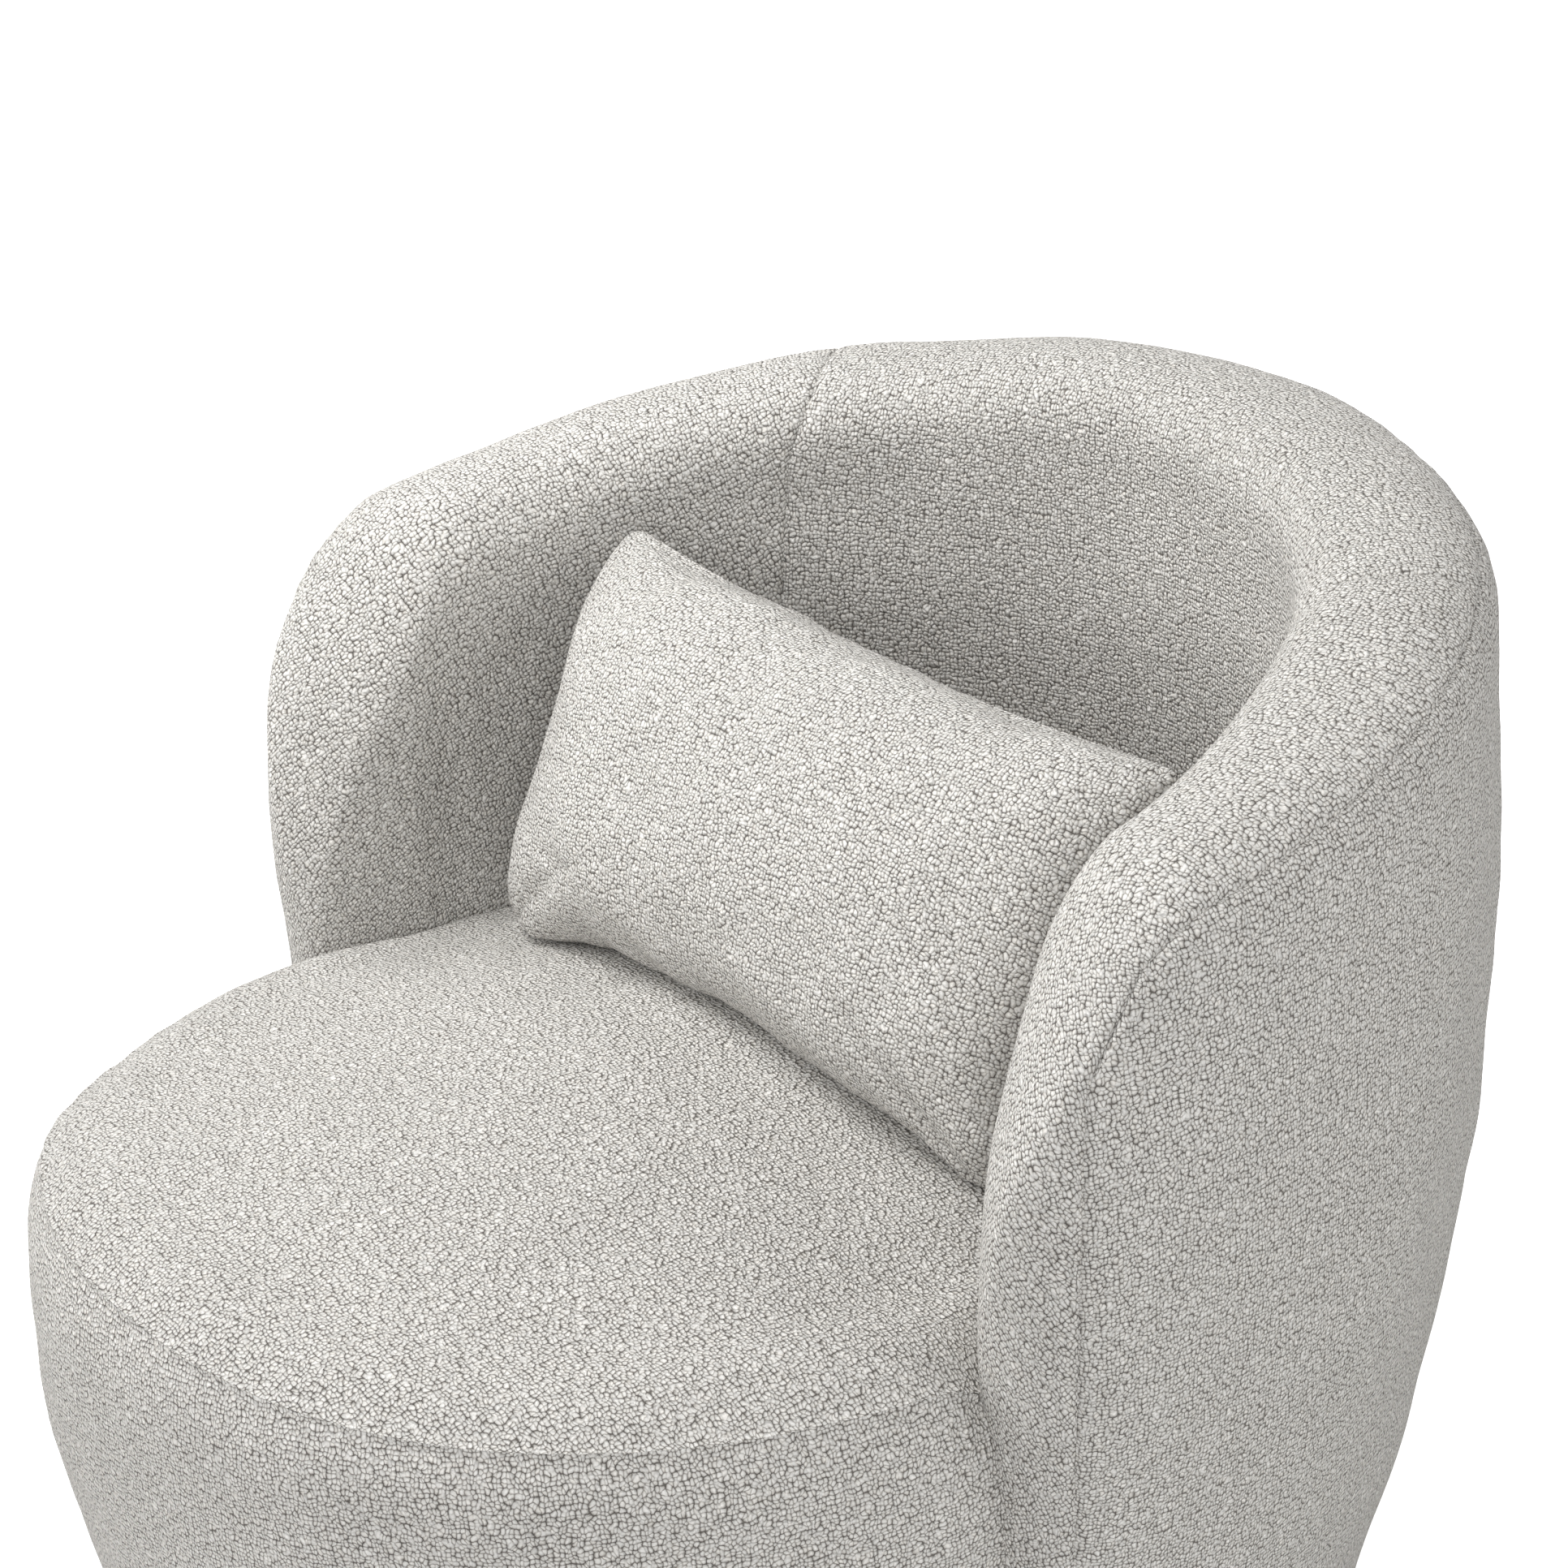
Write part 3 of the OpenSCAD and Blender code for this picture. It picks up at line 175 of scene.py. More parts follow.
def draw_in(z):
    """How far the wall stands in from its widest line, below it and above it."""
    return (FOOT_DRAW * clamp01((WIDEST_H - z) / WIDEST_H) ** FOOT_POWER
            + TOP_LEAN * clamp01((z - WIDEST_H) / (BACK_H - WIDEST_H)) ** 2)


def wall(c, j):
    """Points of the wall's surface at stations c, negative on the sitter's right, and rows j."""
    c, j = np.broadcast_arrays(np.asarray(c, float), np.asarray(j, float))
    s = np.where(c < 0, -1.0, 1.0)
    a = np.abs(c)
    w = np.where(a <= NOSE_SEAM, clamp01((a - BACK_END) / (NOSE_SEAM - BACK_END)),
                 (TIP - a) / (TIP - NOSE_SEAM))
    i = a - TURN_STATIONS * w * seam_turn(j)
    u = station_u(i)
    u = u + seam_shift(u, j)
    q = np.radians(90 * u)
    q2 = np.radians(90 * (np.maximum(u, 2) - 2))
    y = np.where(u <= 1, CURVE_Y + BACK_CURVE_D * np.cos(q),
                 np.where(u <= 2, CURVE_Y - (ARM_LEN - NOSE_LEN) * (u - 1),
                          TIP_Y + NOSE_LEN * (1 - np.sin(q2))))
    share = clamp01((CURVE_Y - y) / ARM_LEN)
    x = np.where(u <= 1, HALF_W * np.sin(q), HALF_W - ARM_DRAW * share ** 2)
    nx = np.where(u <= 1, BACK_CURVE_D * np.sin(q), ARM_LEN)
    ny = np.where(u <= 1, HALF_W * np.cos(q), -2 * ARM_DRAW * share)
    nn = np.hypot(nx, ny)
    nx, ny = nx / nn, ny / nn
    th = BACK_TH + (ARM_TH - BACK_TH) * (np.where(u <= 1, u, 1 + share) / 2) ** THIN_POWER
    g = np.where(u <= 2, 1.0, arch(np.sin(q2), NOSE_POWER))
    fall = clamp01((HALF_D - y) / (HALF_D - TIP_Y))
    top = (BACK_H - (BACK_H - ARM_H) * fall ** FALL_POWER
           - NOSE_DROP * (1 - arch(1 - (y - TIP_Y) / NOSE_RUN, NOSE_BULGE)))
    rise = TOP_ROUND * np.maximum(g, LEAST_ROUND)
    arc = top - rise
    r = np.where(j > TOP_ROW, LAST_ROW - j, j)
    low = np.where(r <= TUCK_ROW, SKIRT_Z + (TUCK_Z - SKIRT_Z) * r / TUCK_ROW,
                   TUCK_Z + (arc - TUCK_Z) * (r - TUCK_ROW) / (ARC_IN - TUCK_ROW))
    ang = np.radians(180 * (ARC_OUT - np.clip(j, ARC_IN, ARC_OUT)) / (ARC_OUT - ARC_IN))
    z = np.where(r <= ARC_IN, low, arc + rise * np.maximum(np.sin(ang), 0) ** (2 / TOP_POWER))
    half = th / 2
    cosa = np.cos(ang)
    across = np.where(r <= ARC_IN, np.where(j > TOP_ROW, 1.0, -1.0), signed_power(cosa, 2 / TOP_POWER))
    o = -half + half * across * g - draw_in(z)
    skew = NOSE_SKEW * across * share * g
    return np.stack([s * (x + nx * o), y + ny * o + draw_in(z) * share - skew, z], -1)


# Grids
def length_along(f, t):
    """Length of each step along a curve, after a 0 for its start."""
    p = f(t)
    d = np.linalg.norm(np.diff(p, axis=0), axis=1)
    return np.concatenate([[0.0], d])


def even(f, a, b, step):
    """Places from a to b at even distances along f."""
    t = np.linspace(a, b, SAMPLES)
    run = np.cumsum(length_along(f, t))
    return np.interp(np.linspace(0, run[-1], int(round(run[-1] / step)) + 1), run, t)


def lines(a, b, weight, step, marks):
    """Places from a to b, about step apart by the running length that weight gives, closer at marks."""
    t = np.linspace(a, b, SAMPLES)
    run = np.concatenate([[0], np.cumsum(weight(t))])[:-1]
    stops = sorted(set([a, b] + [m for m in marks if a < m < b]))
    out = []
    for lo, hi in zip(stops[:-1], stops[1:]):
        r0, r1 = np.interp(lo, t, run), np.interp(hi, t, run)
        n = max(4, int(round((r1 - r0) / step)))
        places = list(np.linspace(r0, r1, n + 1)[1:-1])
        for m, s in ((r0, 1), (r1, -1)):
            places = [p for p in places if abs(p - m) > NEAR * CLEAR]
            places += [m + s * NEAR * k for k in BESIDE if NEAR < (r1 - r0) / ROOM]
        out += [r0] + sorted(places)
    out.append(np.interp(stops[-1], t, run))
    v = np.interp(np.array(out), run, t)
    for m in stops:
        v[np.argmin(np.abs(v - m))] = m
    return v


def running(grid, axis):
    """Length along the lines of a grid of points, from where each starts."""
    step = np.linalg.norm(np.diff(grid, axis=axis), axis=-1)
    start = np.zeros_like(np.take(step, [0], axis=axis))
    return np.concatenate([start, np.cumsum(step, axis)], axis)


def grid_faces(nc, nr, mask):
    """Faces of the grid cells in mask, wound so that they look out of the wall."""
    i, j = np.nonzero(mask)
    a = i * nr + j
    return np.stack([a, a + nr, a + nr + 1, a + 1], 1)


def face_normals(p, faces):
    """Sum at each point of the normals of its faces, longer for larger faces."""
    v = p[faces]
    n = np.cross(v[:, 2] - v[:, 0], v[:, 3] - v[:, 1])
    out = np.zeros_like(p)
    for k in range(4):
        np.add.at(out, faces[:, k], n)
    return out


def joined_normals(p, faces):
    """Unit normals, the same for all the points that lie in one place."""
    _, same = np.unique(np.round(p / WELD).astype(np.int64), axis=0, return_inverse=True)
    same = same.reshape(-1)
    total = np.zeros((same.max() + 1, 3))
    np.add.at(total, same, face_normals(p, faces))
    return unit(total[same])


def tree_of(points):
    tree = KDTree(len(points))
    for k, p in enumerate(points):
        tree.insert(Vector(p), k)
    tree.balance()
    return tree


def nearest(points, queries):
    """Distance from each query point to the nearest of points, and which one that is."""
    tree = tree_of(points)
    d = np.empty(len(queries))
    w = np.empty(len(queries), int)
    for k, p in enumerate(queries):
        _, w[k], d[k] = tree.find(Vector(p))
    return d, w


def turned_under(edge, inward):
    """Rows of points that turn the cloth under from its edge, given the way in at each point."""
    return np.stack([edge + inward * a + np.array([0, 0, b]) for a, b in HEM], 1)


# Pieces from grids
def piece(name, points, faces, uv, material, body="chair"):
    """A mesh piece from points in millimetres, quads, and a UV in millimetres for each corner."""
    used, inverse = np.unique(faces, return_inverse=True)
    faces = inverse.reshape(faces.shape)
    mesh = bpy.data.meshes.new(name)
    mesh.from_pydata((points[used] * MM).tolist(), [], faces.tolist())
    layer = mesh.uv_layers.new(name="UVMap")
    layer.data.foreach_set("uv", (uv * MM).reshape(-1).astype(np.float32))
    mesh.polygons.foreach_set("use_smooth", np.ones(len(faces), bool))
    bm = bmesh.new()
    bm.from_mesh(mesh)
    bmesh.ops.remove_doubles(bm, verts=bm.verts, dist=MERGE * MM)
    bmesh.ops.dissolve_degenerate(bm, edges=bm.edges, dist=MERGE * MM)
    bm.to_mesh(mesh)
    bm.free()
    mesh.materials.append(material)
    obj = bpy.data.objects.new(name, mesh)
    bpy.context.scene.collection.objects.link(obj)
    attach(obj, body)
    flatten(obj)
    return obj


def read_uv(mesh):
    uv = np.empty(len(mesh.loops) * 2, np.float32)
    mesh.uv_layers[0].data.foreach_get("uv", uv)
    return uv.reshape(-1, 2).astype(float)


def cross_sum(a, b):
    return (a[:, 0] * b[:, 1] - a[:, 1] * b[:, 0]).sum()


def flatten(obj):
    """Lay the cloth of a piece out flat, true to size, and turn it to lie as its first UVs do."""
    mesh = obj.data
    first = read_uv(mesh)
    bpy.ops.object.select_all(action="DESELECT")
    obj.select_set(True)
    bpy.context.view_layer.objects.active = obj
    bpy.ops.object.mode_set(mode="EDIT")
    bpy.ops.mesh.select_all(action="SELECT")
    bpy.ops.uv.unwrap(method="MINIMUM_STRETCH", fill_holes=False, iterations=FLATTEN_STEPS)
    bpy.ops.object.mode_set(mode="OBJECT")
    flat = read_uv(mesh)
    corners = np.array([p.loop_start for p in mesh.polygons])
    totals = np.array([p.loop_total for p in mesh.polygons])
    real = sum(p.area for p in mesh.polygons)

    def area_of(uv):
        q = np.stack([uv[corners + np.minimum(k, totals - 1)] for k in range(4)], 1)
        return cross_sum(q[:, 2] - q[:, 0], q[:, 3] - q[:, 1]) / 2

    area = area_of(flat)
    flat *= math.sqrt(real / abs(area))
    if area * area_of(first) < 0:
        flat[:, 0] *= -1
    a, b = flat - flat.mean(0), first - first.mean(0)
    turn = math.atan2(cross_sum(a, b), (a * b).sum())
    c, d = math.cos(turn), math.sin(turn)
    flat = a @ np.array([[c, d], [-d, c]]) + first.mean(0)
    mesh.uv_layers[0].data.foreach_set("uv", flat.reshape(-1).astype(np.float32))


# Materials
def adder(tree):
    """A function that adds a node to a tree, sets its properties, and sets or links its inputs."""
    def add(kind, inputs=None, **props):
        n = tree.nodes.new(kind)
        for k, v in props.items():
            setattr(n, k, v)
        for k, v in (inputs or {}).items():
            if isinstance(v, bpy.types.NodeSocket):
                tree.links.new(v, n.inputs[k])
            else:
                n.inputs[k].default_value = v
        return n

    return add


def node_material(name):
    m = bpy.data.materials.new(name)
    m.use_nodes = True
    t = m.node_tree
    return m, t, t.nodes["Principled BSDF"], adder(t)


def maths(add, op, a, b=0.0, c=0.0):
    return add("ShaderNodeMath", {0: a, 1: b, 2: c}, operation=op).outputs[0]


def times(add, a, b):
    """One colour multiplied by another."""
    return add("ShaderNodeMix", {0: 1.0, 6: a, 7: b}, data_type="RGBA", blend_type="MULTIPLY").outputs[2]


def ramp(add, fac, stops):
    n = add("ShaderNodeValToRGB", {0: fac})
    e = n.color_ramp.elements
    while len(e) < len(stops):
        e.new(0.5)
    for s, (p, c) in zip(e, stops):
        s.position = p
        s.color = c if len(c) == 4 else (*c, 1)
    return n.outputs[0]


def rgb(r, g, b):
    """A colour given as it looks on a screen, from 0 to 255."""
    f = lambda v: v / 255 / 12.92 if v / 255 <= 0.04045 else ((v / 255 + 0.055) / 1.055) ** 2.4
    return (f(r), f(g), f(b), 1)


def seen(add):
    """1 for a ray from the camera, a mirror or glass, and 0 for one that lights a surface."""
    rays = add("ShaderNodeLightPath").outputs
    return maths(add, "MAXIMUM", rays["Is Camera Ray"],
                 maths(add, "MAXIMUM", rays["Is Glossy Ray"], rays["Is Transmission Ray"]))


# The cloth's nubs: spacing in millimetres, height in metres, spacing down by across, and unevenness
NUB, NUB_RISE, NUB_SQUEEZE, NUB_JITTER = 2.6, 0.0026, 0.90, 0.62
# Larger nubs among them: size to a nub's, squeeze, unevenness, and the cells that have one
BIG_NUB, BIG_SQUEEZE, BIG_JITTER, BIG_FROM, BIG_FULL = 2.0, 0.95, 0.95, 0.55, 0.62
# How fast a nub falls off from its middle, a larger one too, and how fast the painted shade line between
# nubs ends
NUB_FALL, BIG_FALL, LINE_FALL = 1.33, 2.4, 4.5
# Scales of the noises: the rows' drift, fibres, lumps and clouds, and the drift's range in metres
DRIFT_SCALE, FIBRE_SCALE, LUMP_SCALE, CLOUD_SCALE, DRIFT = 130.0, 1900.0, 200.0, 20.0, 0.004
# Colours of painted shade, from the pits and gaps between nubs up their sides, then the nubs' own pale
# tops, and where each lies on the nubs' painted shade
# The pit, gap and side colours are painted shade; the top colour is the wool's own
PIT_PAINTED_SHADE, GAP_PAINTED_SHADE, NUB_SIDE_PAINTED_SHADE, NUB_TOP = (104, 100, 95), (176, 171, 165), (234, 231, 225), (250, 248, 244)
SHADES = (0.08, 0.36, 0.66, 0.92)
# What makes the nubs' painted shade: their dome, the line between them, the fibres' random tone and the
# larger nubs
DOME_SHADE, LINE_SHADE, FIBRE_SHADE, BIG_SHADE = 0.58, 0.42, 0.35, 1.1
# What makes the height: a nub's least and what one can have more, larger nubs, fibres and lumps
LEAST_HEIGHT, MORE_HEIGHT, BIG_HEIGHT, FIBRE_HEIGHT, LUMP_HEIGHT = 0.65, 0.5, 1.25, 0.25, 0.7
# Slight changes of tint over the cloth, and from nub to nub
CLOUDS = [(0.30, (0.93, 0.93, 0.93)), (0.72, (1.0, 1.0, 1.0))]
EACH_NUB = [(0.0, (0.90, 0.895, 0.89)), (0.6, (1.0, 1.0, 1.0)), (1.0, (1.0, 0.985, 0.965))]
# The wool's surface
WOOL = {"Roughness": 0.95, "Specular IOR Level": 0.15, "Sheen Weight": 0.12, "Sheen Roughness": 0.6,
        "Sheen Tint": rgb(250, 247, 242)}


def boucle(name, turn=0.0, shift=0.0):
    """Looped wool cloth: rows of round nubs with fine fibres, painted shade between them, turned and
    shifted.
    """
    m, t, bsdf, add = node_material(name)

    def noise(at, scale, detail=2.0, rough=0.5, out="Fac"):
        inputs = {"Vector": at, "Scale": scale, "Detail": detail, "Roughness": rough}
        return add("ShaderNodeTexNoise", inputs, noise_dimensions="2D").outputs[out]

    def loops(size, squeeze, jitter):
        """Coordinates in cells, the distance to each cell's middle, and a random value for each cell."""
        fit = (1000 / size, 1000 / (size * squeeze), 1)
        cells = add("ShaderNodeMapping", {0: where, "Scale": fit}).outputs[0]
        n = add("ShaderNodeTexVoronoi", {"Vector": cells, "Scale": 1.0, "Randomness": jitter},
                voronoi_dimensions="2D", feature="F1")
        random = add("ShaderNodeSeparateColor", {0: n.outputs["Color"]}).outputs[0]
        return cells, n.outputs["Distance"], random

    def domed(k):
        """A low dome: 1 where k is 0, and 0 where k is 1 or more."""
        return maths(add, "MAXIMUM", maths(add, "SUBTRACT", 1.0, maths(add, "MULTIPLY", k, k)), 0.0)

    uv = add("ShaderNodeTexCoord").outputs["UV"]
    place = add("ShaderNodeMapping", {0: uv, "Rotation": (0, 0, math.radians(turn)),
                                      "Location": (shift, shift * 0.7, 0)}).outputs[0]
    drift = noise(place, DRIFT_SCALE, out="Color")
    off = add("ShaderNodeVectorMath", {0: drift, 1: (0.5, 0.5, 0.5)}, operation="SUBTRACT").outputs[0]
    off = add("ShaderNodeVectorMath", {0: off, "Scale": DRIFT}, operation="SCALE").outputs[0]
    where = add("ShaderNodeVectorMath", {0: place, 1: off}, operation="ADD").outputs[0]

    cells, middle, each = loops(NUB, NUB_SQUEEZE, NUB_JITTER)
    edge = add("ShaderNodeTexVoronoi", {"Vector": cells, "Scale": 1.0, "Randomness": NUB_JITTER},
               voronoi_dimensions="2D", feature="DISTANCE_TO_EDGE").outputs["Distance"]
    dome = domed(maths(add, "MULTIPLY", middle, NUB_FALL))
    # A thin line of painted shade along the edges between the nubs
    line = maths(add, "MINIMUM", maths(add, "MULTIPLY", edge, LINE_FALL), 1.0)
    _, middle, pick = loops(NUB * BIG_NUB, BIG_SQUEEZE, BIG_JITTER)
    pick = add("ShaderNodeMapRange", {0: pick, 1: BIG_FROM, 2: BIG_FULL, 3: 0.0, 4: 1.0}).outputs[0]
    big = maths(add, "MULTIPLY", domed(maths(add, "MULTIPLY", middle, BIG_FALL)), pick)
    fibre = noise(where, FIBRE_SCALE, 3.0, 0.6)
    lumps = noise(place, LUMP_SCALE)
    cloud = noise(place, CLOUD_SCALE)

    # Painted shade: the colour darkens from the nubs' tops down their sides into the lines and pits between
    # them, with the fibres' random tone added
    shade = maths(add, "MULTIPLY_ADD", dome, DOME_SHADE, maths(add, "MULTIPLY", line, LINE_SHADE))
    shade = maths(add, "MULTIPLY_ADD", maths(add, "SUBTRACT", fibre, 0.5), FIBRE_SHADE,
                  maths(add, "MAXIMUM", shade, maths(add, "MULTIPLY", big, BIG_SHADE)))
    colour = ramp(add, shade, [(p, rgb(*c)) for p, c in zip(SHADES, (PIT_PAINTED_SHADE, GAP_PAINTED_SHADE, NUB_SIDE_PAINTED_SHADE, NUB_TOP))])
    pale = maths(add, "MULTIPLY_ADD", lumps, 0.5, maths(add, "MULTIPLY", cloud, 0.5))
    colour = times(add, colour, ramp(add, pale, CLOUDS))
    colour = times(add, colour, ramp(add, each, EACH_NUB))
    t.links.new(colour, bsdf.inputs["Base Color"])

    height = maths(add, "MULTIPLY", dome, maths(add, "MULTIPLY_ADD", each, MORE_HEIGHT, LEAST_HEIGHT))
    height = maths(add, "MAXIMUM", height, maths(add, "MULTIPLY", big, BIG_HEIGHT))
    height = maths(add, "MULTIPLY_ADD", fibre, FIBRE_HEIGHT, height)
    height = maths(add, "MULTIPLY_ADD", lumps, LUMP_HEIGHT, height)
    bump = add("ShaderNodeBump", {"Strength": 1.0, "Distance": NUB_RISE, "Height": height})
    t.links.new(bump.outputs[0], bsdf.inputs["Normal"])
    for k, v in WOOL.items():
        bsdf.inputs[k].default_value = v
    return m


BOUCLE_BACK = boucle("boucle_back", 90)
BOUCLE_ARM = boucle("boucle_arm", 90, 0.31)
BOUCLE_OUTER = boucle("boucle_outer", 90, 0.77)
BOUCLE_SEAT = boucle("boucle_seat", 0, 0.13)
BOUCLE_FRONT = boucle("boucle_front", 90, 0.47)
BOUCLE_CUSHION = boucle("boucle_cushion", 0, 0.59)


# The wall's grid, with closer lines beside the seams. Its stations are spaced by the length round the
# outside or along the top, whichever is longer, and its rows by the length over one section
ROUND_ROW, SECTION_STATION = 17.0, 7.0


def col_weight(t):
    return np.maximum(length_along(lambda v: wall(v, ROUND_ROW), t),
                      length_along(lambda v: wall(v, TOP_ROW), t))


def row_weight(t):
    return length_along(lambda v: wall(SECTION_STATION, v), t)


half_cols = lines(0, TIP, col_weight, CELL, [BACK_SEAM, NOSE_SEAM])
COLS = np.concatenate([-half_cols[:0:-1], half_cols])
ROWS = lines(0, LAST_ROW, row_weight, CELL, [TUCK_ROW, TOP_ROW, SEAM_ROW])
NC, NR = len(COLS), len(ROWS)
WALL = wall(*np.meshgrid(COLS, ROWS, indexing="ij")).reshape(-1, 3)
mid_c = (COLS[:-1] + COLS[1:])[:, None] / 2


def row_middles(rows):
    """The middle of each row of cells, and the cells that have cloth: below the tuck, the fronts alone."""
    mid = (rows[:-1] + rows[1:])[None, :] / 2
    return mid, (mid > TUCK_ROW) | (np.abs(mid_c) > FOOT)


_, with_cloth = row_middles(ROWS)
WALL_N = joined_normals(WALL, grid_faces(NC, NR, with_cloth))

# The wall's seams sink into it, with puckers beside them, and the padding is slightly uneven.
# The places on a seam are about SEAM_STEP apart
SEAM_STEP = 1.3
down_seam = np.linspace(TUCK_ROW, LAST_ROW, 1500)
down_nose = np.linspace(SEAM_ROW, LAST_ROW, 900)
wall_seams = np.concatenate([
    wall(np.linspace(-NOSE_SEAM, NOSE_SEAM, 2200), float(SEAM_ROW)),
    wall(BACK_SEAM, down_seam), wall(-BACK_SEAM, down_seam),
    wall(NOSE_SEAM, down_nose), wall(-NOSE_SEAM, down_nose),
])
d, which = nearest(wall_seams, WALL)
pucker = puckers(which * SEAM_STEP / 9.0, ripple(WALL, 60, 5), d, 11, 0.45)
lift = -groove(d) + pucker + 0.9 * ripple(WALL, 130, 3) + 0.35 * ripple(WALL, 45, 4) * np.exp(-d / 40)
shell = (WALL + WALL_N * (lift * calm(WALL[:, 2]))[:, None]).reshape(NC, NR, 3)

# Lengths over the wall, for the lie of the cloth
W3 = WALL.reshape(NC, NR, 3)
run_c, run_j = running(W3, 0), running(W3, 1)
run_c -= run_c[NC // 2]
tuck_at = int(np.argmin(np.abs(ROWS - TUCK_ROW)))
uv_main = np.stack([run_c, run_j - run_j[:, tuck_at:tuck_at + 1]], 2)

# The hem: both ends of the cloth are turned under, out of sight
edge_in = unit(-WALL_N.reshape(NC, NR, 3) * (1, 1, 0))
ends = [turned_under(shell[:, r], edge_in[:, r]) for r in (0, -1)]
WALL_P = np.concatenate([ends[0][:, ::-1], shell, ends[1]], 1).reshape(-1, 3)
steps = np.arange(1, HEM_ROWS + 1)[None, :, None]
UV_WALL = np.concatenate([
    uv_main[:, :1] + (uv_main[:, :1] - uv_main[:, 1:2]) * steps[:, ::-1], uv_main,
    uv_main[:, -1:] + (uv_main[:, -1:] - uv_main[:, -2:-1]) * steps], 1).reshape(-1, 2)
NR += 2 * HEM_ROWS
ROWS = np.concatenate([np.linspace(-1, -0.3, HEM_ROWS), ROWS,
                       np.linspace(LAST_ROW + 0.3, LAST_ROW + 1, HEM_ROWS)])
mid_j, with_cloth = row_middles(ROWS)


def wall_piece(name, mask, material):
    faces = grid_faces(NC, NR, mask & with_cloth)
    return piece(name, WALL_P, faces, UV_WALL[faces], material)


inside = mid_j < SEAM_ROW
near_mid = np.abs(mid_c) < BACK_SEAM
nose_part = np.abs(mid_c) > NOSE_SEAM
inside_back = wall_piece("inside_back_panel", inside & near_mid, BOUCLE_BACK)
outside_back = wall_piece("outside_back_panel", ~inside & near_mid, BOUCLE_OUTER)
arms = {}
for side, s in (("left", 1), ("right", -1)):
    there = mid_c * s > BACK_SEAM
    arms["inside_arm_" + side] = wall_piece(
        f"inside_arm_panel_{side}", there & (inside | nose_part), BOUCLE_ARM)
    arms["outside_arm_" + side] = wall_piece(
        f"outside_arm_panel_{side}", there & ~inside & ~nose_part, BOUCLE_OUTER)

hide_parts("inside_back_cover", "inside_back_pad")
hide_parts("outside_back_cover", "outside_back_pad")
for part, obj in arms.items():
    where, side = part.rsplit("_", 1)
    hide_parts(f"{where}_cover_{side}", f"{where}_pad_{side}")


# The seat
def half_depth(ahead):
    """Half the seat's depth, ahead of its middle or behind it."""
    return np.where(ahead, HALF_D + SEAT_MID_Y, HALF_D - BACK_TH / 2 - SEAT_MID_Y)


def seat_outline(phi, inset, share=1.0):
    a = (SEAT_W / 2 - inset) * share
    b = (half_depth(np.cos(phi) > 0) - inset) * share
    return (-a * signed_power(np.sin(phi), 2 / SEAT_POWER),
            SEAT_MID_Y - b * signed_power(np.cos(phi), 2 / SEAT_POWER))


def seat_point(phi, t):
    """t runs 0 to 1 over the crown, 1 to 2 round the edge, and 2 to 3 down to the skirt."""
    phi, t = np.broadcast_arrays(phi, t)
    k = clamp01(t)
    ang = clamp01(t - 1) * math.pi / 2
    z2 = SEAT_SIDE_Z + (SKIRT_Z - SEAT_SIDE_Z) * clamp01(t - 2)
    inset = np.where(t <= 1, SEAT_ROUND, np.where(
        t <= 2, SEAT_ROUND * (1 - np.sin(ang) ** (2 / EDGE_POWER)),
        FRONT_DRAW * clamp01((SEAT_SIDE_Z - z2) / SEAT_SIDE_Z) ** FRONT_POWER))
    drop = SEAT_ROUND * (1 - np.maximum(np.cos(ang), 0) ** (2 / EDGE_POWER))
    z = np.where(t <= 1, SEAT_H + SEAT_CROWN * (1 - k ** CROWN_POWER), np.where(t <= 2, SEAT_H - drop, z2))
    x, y = seat_outline(phi, inset, k)
    return np.stack([x, y, z], -1)


# Where the seam runs round the seat's edge, and how far round to each side the front panel reaches
SEAM_T = 1 + math.acos((1 - (SEAT_H - SEAM_H) / SEAT_ROUND) ** (EDGE_POWER / 2)) / (math.pi / 2)
SEAT_SIDES = math.pi * 0.56
# Grid lines beside the seam, where the seat's edge is measured, and how far into the wall cloth is kept
SEAM_LINES = np.array([0.0, 0.012, 0.03, 0.06])
EDGE_T, HIDDEN = 1.6, -14
# The seat's cloth is pulled down beside the wall: how deep, over what distance, and up to where
TUCK, TUCK_REACH, TUCK_END = 9.0, 9.0, 60
# A point further off than this is outside the wall
WALL_REACH = 40
wall_tree = tree_of(WALL)


def from_wall(p):
    """Signed distance of points from the wall's surface, positive outside it."""
    out = np.empty(len(p))
    for k, q in enumerate(p):
        _, w, dist = wall_tree.find(Vector(q))
        out[k] = float(np.dot(q - WALL[w], WALL_N[w])) if dist < WALL_REACH else dist
    return out


